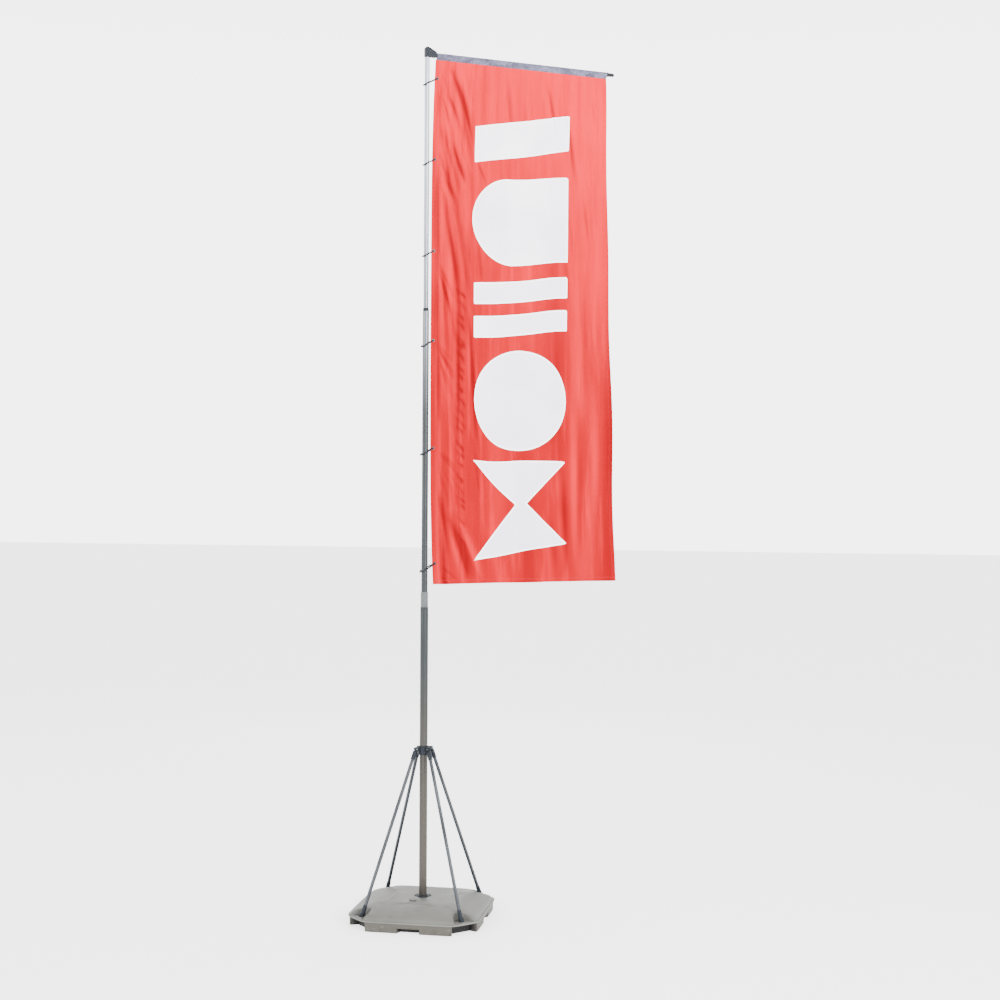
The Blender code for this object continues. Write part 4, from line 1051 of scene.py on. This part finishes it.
# %% Folds
def fold(start, end, width, rise, bow=0.0, steep=0.45):
    """A ridge from start to end, each (distance from the edge, distance from the top):
    rise times exp(-(d / w)^2) times sin(pi s)^1.3, where d is the distance to the line, bowed by
    bow sin(pi s), s is the share along it, and w is width on one side and steep times width on
    the other."""
    start, end = np.array(start), np.array(end)
    line = end - start
    length = np.linalg.norm(line)
    dx, dy = from_edge - start[0], from_top - start[1]
    s = np.clip((dx * line[0] + dy * line[1]) / length ** 2, 0, 1)
    d = (dx * line[1] - dy * line[0]) / length - bow * np.sin(np.pi * s)
    w = np.where(d > 0, width, steep * width)
    return rise * np.exp(-(d / w) ** 2) * np.sin(np.pi * s) ** 1.3


# In millimetres: where each fold starts and where it ends, both across and down, and then its
# width, rise and bow. Two folds to a line.
LONG_FOLDS = np.array([
    70, -40, 240, 520, 40, -9, 12,        110, 60, 260, 500, 22, -6, 10,
    20, 300, 150, 950, 34, -7, 14,        90, 900, 190, 1600, 30, -6, 12,
    30, 30, 235, 620, 45, -8, 15,         150, 20, 235, 300, 20, 3.5, 4,
    45, 360, 200, 860, 30, -6, 10,        120, 440, 215, 720, 24, -10, -8,
    30, 500, 120, 780, 20, -6, 6,         150, 360, 250, 660, 20, 4, 5,
    60, 720, 160, 1300, 24, -5, 8,        140, 780, 230, 1420, 26, -4.5, 10,
    35, 950, 110, 1750, 20, -4, 10,       35, 1500, 45, 2150, 18, -4.5, 4,
    165, 1350, 160, 2300, 20, -6, 3,      235, 1450, 285, 2220, 24, -6, -6,
    105, 1800, 130, 2650, 22, 3.5, 5,     95, 2580, 235, 3050, 50, -15, 10,
    150, 2620, 330, 3060, 40, 7, 12,      40, 2450, 110, 2900, 26, -5, 6,
    660, 20, 745, 380, 20, 2.8, 4,        705, 60, 785, 420, 16, -3, 4,
    830, 200, 905, 660, 18, -3.2, 6,      900, 420, 985, 900, 18, 3, 6,
    930, 560, 1010, 1080, 16, -3.4, 6,    985, 480, 1050, 1020, 14, 2.6, 4,
    440, 20, 500, 500, 30, -3, 6,         560, 20, 640, 600, 26, 2.6, 6,
    950, 1900, 945, 2950, 55, -8, 12,     845, 2300, 870, 3050, 45, -6, -8,
    1040, 1750, 1060, 2700, 60, 6, 10,    740, 2550, 790, 3050, 50, -5, 6,
    480, 2600, 520, 3060, 60, 5, 8,       960, 1100, 990, 1950, 50, -4.5, 10,
]).reshape(-1, 7) / 1000
folds = np.zeros((ROWS, COLUMNS))
for row in LONG_FOLDS:
    folds += fold(row[:2], row[2:4], *row[4:])
print("large folds lift the cloth by", round(float(folds.max() - folds.min()) * 1000, 1), "mm")

# %% [markdown]
# The small puckers have no known places, so a seeded random source sets them out: commas along
# the seam, short creases that fan out from each eyelet, and faint creases all over, which are
# tighter beside the mast and softer across the free side.

# %% Puckers
chance = np.random.default_rng(7)
SEAM = 0.166
for level in np.arange(1.32, 2.86, 0.062):
    level += chance.uniform(-0.018, 0.018)
    reach = chance.uniform(0.020, 0.048)
    rise = -chance.uniform(0.0020, 0.0052)
    folds += fold((SEAM + 0.003, level), (SEAM + reach, level + chance.uniform(0.045, 0.085)),
                  0.013, rise, 0.006)
    folds += fold((SEAM - 0.4 * reach, level - 0.03), (SEAM - 0.003, level + 0.03), 0.010, 0.5 * rise, 0.003)
for height in ring_heights:
    level = banner_top - height
    for spread in chance.uniform(0.02, 0.34, 6):
        far = chance.uniform(0.09, 0.19)
        folds += fold((0.034, level + 0.25 * spread), (far, level + spread + 0.10), 0.014,
                      -chance.uniform(0.0008, 0.0026), 0.006)
# how many, the ranges of where they begin, of how far they run, of width and of rise, and the bow
FAINT_CREASES = (
    (46, ((0.03, 0.30), (0.02, 2.5)), ((0.02, 0.07), (0.14, 0.34)), (0.010, 0.018), (-0.0024, 0.0014), 0.003),
    (34, ((0.36, 1.02), (0.02, 2.2)), ((0.03, 0.08), (0.25, 0.60)), (0.014, 0.024), (-0.0013, 0.0013), 0.004))
for count, begins, runs, widths, rises, bow in FAINT_CREASES:
    for _ in range(count):
        begin_x, begin_y = chance.uniform(*begins[0]), chance.uniform(*begins[1])
        end = begin_x + chance.uniform(*runs[0]), begin_y + chance.uniform(*runs[1])
        folds += fold((begin_x, begin_y), end, chance.uniform(*widths), chance.uniform(*rises), bow)
print("with the puckers the cloth lifts by", round(float(folds.max() - folds.min()) * 1000, 1), "mm")

# %% [markdown]
# Long soft waves carry the folds. They die away towards the pocket, where the cloth is sewn
# straight, and towards the mast, where a webbing tape keeps the edge flat for the eyelets.
# The top edge is tucked a little way up into the pocket's seam.

# %% The banner's surface
def ease(value, low, high):
    """0 below low, 1 above high, and a smooth s-curve between."""
    s = np.clip((value - low) / (high - low), 0, 1)
    return s * s * (3 - 2 * s)


free = from_edge / (edge_right - edge_left)
waves = 0.011 * np.sin(2 * np.pi * (2.2 * free + 0.6 * down_share)) * ease(from_top, 0.0, 1.0)
waves += 0.004 * np.sin(2 * np.pi * (4.1 * free - 0.5 * down_share + 0.2)) * ease(from_top, 0.2, 2.2)
flutter = ease(free, 0.75, 1.0) * np.sin(2 * np.pi * (2.6 * down_share + 0.1))
waves += 0.006 * flutter * ease(from_top, 0.1, 0.5)
hold = ease(from_edge, 0.034, 0.075)
depth = (folds * ease(from_edge, 0.030, 0.050) + waves * hold) * ease(from_top, 0.0, 0.06)
sway = 0.0035 * np.sin(2 * np.pi * 3.1 * down_share + 0.6) * free ** 6
banner_x = edge_left + from_edge + sway
banner_z = banner_top - from_top + SEAM_TUCK * (1 - ease(from_top, 0.0, 0.02))
front = beside_arm(np.stack([banner_x, depth - CLOTH / 2, banner_z], -1))
back = beside_arm(np.stack([banner_x, depth + CLOTH / 2, banner_z], -1))


def thin_sheet(front, back):
    """Two grids a cloth's thickness apart, with a rim of faces round their common edge."""
    rows, columns = front.shape[:2]
    points, faces = skin(front)
    count = rows * columns
    index = np.arange(count).reshape(rows, columns)
    rim = np.concatenate([index[0, :], index[1:, -1], index[-1, -2::-1], index[-2:0:-1, 0]])
    onward = np.roll(rim, -1)
    edge = np.stack([rim, rim + count, onward + count, onward], -1)
    return np.vstack([points, skin(back)[0]]), np.vstack([faces, faces[:, ::-1] + count, edge])


banner = piece("banner", thin_sheet(front, back), weld=False, smooth_below=70)
print("the banner has", len(banner.data.polygons), "faces")

# %% [markdown]
# ## The print and the shade in the folds
#
# The banner is printed with a column of plain white blocks. An image would blur up close, so
# the mesh carries, at each point, the distance to the nearest edge of a block, positive inside.
# The finish turns that distance into a sharp line, and a paler line just inside it.
# A second value says how deep a point lies in a fold; with it the finish paints shade in the folds and a
# highlight on the crests.
# The blocks are laid out from the banner's corner. Where the cloth lifts, a block is pulled with it
# by about a third of the lift, so that its edges are not quite straight.

# %% Distances to the printed blocks
printed_down = from_top - 0.35 * depth


def inside_polygon(corners):
    """Distance inside a convex outline, corners in turn: the least of the distances to its sides."""
    corner = np.array(corners, float)
    ahead = np.roll(corner, -1, 0)
    area = np.sum(corner[:, 0] * ahead[:, 1] - ahead[:, 0] * corner[:, 1])
    distance = np.full(from_edge.shape, 9.0)
    for (x0, y0), (x1, y1) in zip(corner, ahead):
        side = (x1 - x0) * (printed_down - y0) - (y1 - y0) * (from_edge - x0)
        distance = np.minimum(distance, side / np.hypot(x1 - x0, y1 - y0) * np.sign(area))
    return distance


def inside_disc(x, y, radius):
    """Distance inside a disc: its radius less the distance to its middle."""
    return radius - np.hypot(from_edge - x, printed_down - y)


PRINT_LEFT, PRINT_RIGHT = 0.262, 0.862
centre = (PRINT_LEFT + PRINT_RIGHT) / 2


def bar(low_top, high_top, deep, left=PRINT_LEFT):
    """A slanting bar: its top edge runs from low_top at the left to high_top at the right."""
    return inside_polygon([(left, low_top), (PRINT_RIGHT, high_top), (PRINT_RIGHT, high_top + deep),
                           (left, low_top + deep)])


ARCH_MIDDLE = 0.502
arch = np.where(from_edge < ARCH_MIDDLE, inside_disc(ARCH_MIDDLE, 0.900, 0.252),
                bar(0.696, 0.614, 0.504, left=0))
blocks = [bar(0.36, 0.245, 0.210), arch, bar(1.270, 1.205, 0.125), bar(1.465, 1.400, 0.125),
          inside_disc(centre, 1.945, 0.296),
          inside_polygon([(PRINT_LEFT, 2.300), (PRINT_RIGHT, 2.300), (centre, 2.590)]),
          inside_polygon([(PRINT_LEFT, 2.880), (centre, 2.520), (PRINT_RIGHT, 2.790)])]
print_inside = np.max(blocks, axis=0)
BLUR_STEPS, FULL_SHADE = 24, 0.0034
blurred = depth.copy()
for _ in range(BLUR_STEPS):
    padded = np.pad(blurred, 1, mode="edge")
    blurred = (padded[:-2, 1:-1] + padded[2:, 1:-1] + padded[1:-1, :-2] + padded[1:-1, 2:]) / 4
# How deep in a fold a point lies, for painted shade in the folds and a painted highlight on the crests.
in_fold = np.clip((blurred - depth) / FULL_SHADE, -1, 1)
for name, value in (("print_inside", print_inside), ("in_fold", in_fold)):
    layer = banner.data.attributes.new(name, "FLOAT", "POINT")
    layer.data.foreach_set("value", np.tile(value.ravel(), 2).astype(np.float32))


def lay_flat(mesh, flat_x, flat_y):
    """Gives a sheet its own flat coordinates, 0 to 1, one pair for each point of front and back."""
    flat = np.stack([np.broadcast_to(flat_x, flat_y.shape), flat_y], -1).reshape(-1, 2)
    corner_points = np.empty(len(mesh.loops), np.int32)
    mesh.loops.foreach_get("vertex_index", corner_points)
    mesh.uv_layers.new(name="flat").data.foreach_set("uv", np.tile(flat, (2, 1))[corner_points].ravel())


lay_flat(banner.data, free, 1 - down_share + 0 * free)
print("white print covers", round(float((print_inside > 0).mean()) * 100), "percent of the grid")

# %% [markdown]
# ## The pocket and the edge tape
#
# The pocket is a sleeve of thicker cloth sewn to the banner's top, with the arm inside it. It
# hugs the arm above and narrows to the seam below, and it wrinkles where it was pushed on.
# The tape lies behind the banner's edge, so it copies the banner's own back surface.

# %% The pocket
POCKET_START, POCKET_END, POCKET_WIDTH = 0.060, 1.142, 0.0256
pocket_x = np.linspace(POCKET_START, POCKET_END, 360)[:, None]
turn = np.linspace(0, 2 * np.pi, 56, endpoint=False)[None, :]


def wrinkle(x, turn):
    """Slanting wrinkles: a sum of waves in (x, turn) of falling height, stronger near the mast."""
    total = 0
    for frequency, lean, height, start in ((34, 1, 1.0, 0.3), (71, -2, 0.6, 1.1), (118, 3, 0.45, 2.0),
                                           (190, -1, 0.30, 0.7), (310, 2, 0.18, 2.6)):
        total = total + height * np.sin(frequency * x + lean * turn + start + 2.2 * np.sin(9 * x + start))
    return total * (0.35 + 0.65 * np.exp(-(x - POCKET_START) / 0.30))


def pocket_row(inset):
    """A section that is round above and a drawn-out drop below: y = half cos a, narrowed below by
    (1 - 0.80 sin^2 a), z = half sin a above and drop sin a below, plus the wrinkles."""
    half, drop = POCKET_WIDTH / 2 - inset, POCKET_DROP - inset
    below = np.sin(turn) < 0
    ruck = 0.0006 * wrinkle(pocket_x, turn)
    y = half * np.cos(turn) * np.where(below, 1 - 0.80 * np.sin(turn) ** 2, 1) + ruck * np.cos(turn)
    z = np.where(below, drop, half) * np.sin(turn) + 0.5 * ruck * np.sin(turn)
    x = pocket_x + 0.0012 * np.sin(3 * turn) * (pocket_x < POCKET_START + 0.004)
    return np.stack(np.broadcast_arrays(x, y, z + arm_height), -1)


outer, inner = pocket_row(0.0), pocket_row(CLOTH)
sleeve = beside_arm(np.concatenate([outer, inner[::-1]]))
pocket = piece("banner_pocket", skin(sleeve, around=True, along=True), smooth_below=60)
print("the pocket is", round(POCKET_END - POCKET_START, 3), "metres long")

# %% [markdown]
# Webbing is stiff beside polyester, so the tape stays flat. Its two faces are grids like the
# banner's, with the same rows.

# %% The tape
TAPE_IN, TAPE_WIDTH, TAPE_THICKNESS = 0.002, 0.030, 0.001
tape_across = np.linspace(TAPE_IN, TAPE_IN + TAPE_WIDTH, 7)[None, :]
tape_x = edge_left + tape_across
tape_y = CLOTH / 2 + GAP + 0 * tape_x
tape_z = banner_top - BANNER_DROP * down_share + 0 * tape_x
tape_front = beside_arm(np.stack([tape_x, tape_y, tape_z], -1))
tape_back = beside_arm(np.stack([tape_x, tape_y + TAPE_THICKNESS, tape_z], -1))
tape = piece("leading_edge_tape", thin_sheet(tape_front, tape_back), weld=False, smooth_below=70)
print("the tape has", len(tape.data.polygons), "faces")

# %% [markdown]
# ## The cloth's own meshes
#
# The banner and its tape each get a mesh of their own. The rings follow the lower slide by
# themselves, because each is joined to it.

# %% Sheets with meshes of their own
for cloth in (banner, tape):
    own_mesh(cloth)
print("soft pieces:", banner.name, pocket.name, tape.name)

# %% [markdown]
# ## A check on the remaining solids
#
# Every plain solid now has a finer piece that stands for it. Any that did not would still be
# seen, so it would get its finish here.

# %% Finishes on the remaining solids
kept = [name for name, solid in frame["nodes"].items() if not solid.hide_render]
for name in kept:
    solid = frame["nodes"][name]
    solid.data.materials.clear()
    solid.data.materials.append(finishes[finish_of[name]])
print("solids kept as they are:", kept)

# %% [markdown]
# ## Floor, lights and camera
#
# A pale floor and a pale surround give even light. The floor glows a little of its own, so that
# it melts into the surround and lightens what is above it, and the surround is brighter at the
# horizon than overhead. One large soft light stands for the bright sky in front and to the right,
# a weaker one opens the shadows on the left, and a third keeps the back from going dull.
# The camera stands about nine metres in front, a little to the right and near the middle of
# the flag's height, with a lens about as long as the eye's own view.

# %% The floor
floor_x = np.linspace(-40, 40, 41)[None, :]
floor_y = np.linspace(-30, 50, 41)[:, None]
floor_points = np.stack(np.broadcast_arrays(floor_x, floor_y, 0.0 * floor_x * floor_y), -1)
floor_mesh = bpy.data.meshes.new("studio_floor")
points, faces = skin(floor_points)
floor_mesh.from_pydata(points.tolist(), [], faces.tolist())
studio_floor = bpy.data.objects.new("studio_floor", floor_mesh)
bpy.context.scene.collection.objects.link(studio_floor)
material, tree, shader = finish("studio_floor", Specular_IOR_Level=0.2,
                                Emission_Color=(1, 1, 1, 1), Emission_Strength=1.85)
tone = grain(tree, 2.0)
feed(tree, shader, blend(tree, tone, (0.84, 0.84, 0.84, 1), (0.88, 0.88, 0.88, 1)),
     span(tree, tone, 0.3, 0.7, 0.75, 0.85), relief(tree, grain(tree, 120.0), 0.0002))
floor_mesh.materials.append(material)
studio_floor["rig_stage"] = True
print("the floor is", round(float(floor_x.max() - floor_x.min())), "metres wide")


# %% [markdown]
# The lights are wide squares, because a small lamp would give hard shadows that a cloudy sky never
# does. The surround's strength depends only on how high a direction points.

# %% Lights and surround
def aimed(thing, where, at):
    """Puts a light or the camera at where, and turns its view, local -z, towards at."""
    bpy.context.scene.collection.objects.link(thing)
    way = np.array(at, float) - np.array(where, float)
    way /= np.linalg.norm(way)
    thing.location = where
    thing.rotation_euler = (np.arccos(-way[2]), 0, np.arctan2(-way[0], way[1]))
    return thing


for name, where, at, side, power in (("sky_light", (7.0, -7.0, 5.2), (0.3, 0, 3.4), 4.5, 1500),
                                     ("fill_light", (-6.0, -6.0, 3.5), (0, 0, 2.6), 4.0, 380),
                                     ("back_light", (-2.0, 7.5, 6.0), (0, 0, 2.6), 4.0, 300)):
    lamp = bpy.data.lights.new(name, "AREA")
    lamp.shape, lamp.size, lamp.energy = "SQUARE", side, power
    aimed(bpy.data.objects.new(name, lamp), where, at)
world = bpy.data.worlds.new("studio_surround")
world.use_nodes = True
sky = world.node_tree
around = step(sky, "SeparateXYZ", out="Z", Vector=step(sky, "TexCoord", out="Generated"))
background = sky.nodes["Background"]
background.inputs["Color"].default_value = (1.0, 1.0, 1.0, 1.0)
sky.links.new(span(sky, around, 0.25, 0.75, 5.2, 0.8), background.inputs["Strength"])
bpy.context.scene.world = world
print("lights:", ", ".join(lamp.name for lamp in bpy.data.lights))

# %% [markdown]
# The camera is placed by numbers and then rolled by a third of a degree, which no aiming at a
# point could give.

# %% Camera
CAMERA_AT = (2.086, -9.124, 2.521)
PAN, PITCH, ROLL = np.radians((-10.232, -0.688, 0.335))
lens = bpy.data.cameras.new("viewpoint")
lens.sensor_width, lens.lens = 36.0, 58.5
viewpoint = bpy.data.objects.new("viewpoint", lens)
ahead = np.array([np.sin(PAN) * np.cos(PITCH), np.cos(PAN) * np.cos(PITCH), np.sin(PITCH)])
aimed(viewpoint, CAMERA_AT, np.array(CAMERA_AT) + ahead)
viewpoint.rotation_mode = "XYZ"
viewpoint.rotation_euler.rotate_axis("Z", ROLL)
bpy.context.scene.camera = viewpoint
print("the camera is", round(float(np.linalg.norm(CAMERA_AT)), 2), "metres from the mast's foot")

# %% [markdown]
# ## Sizes, and the end
#
# The plain flag's box and the finely made flag's box are both printed. The finely made flag
# has to stay the size of the plain one.

# %% Write the sizes and finish
visual_low, visual_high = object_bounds()
for kind, box_low, box_high in (("plain", cad_low, cad_high), ("fine", visual_low, visual_high)):
    print(kind, [round(side, 3) for side in box_high - box_low])
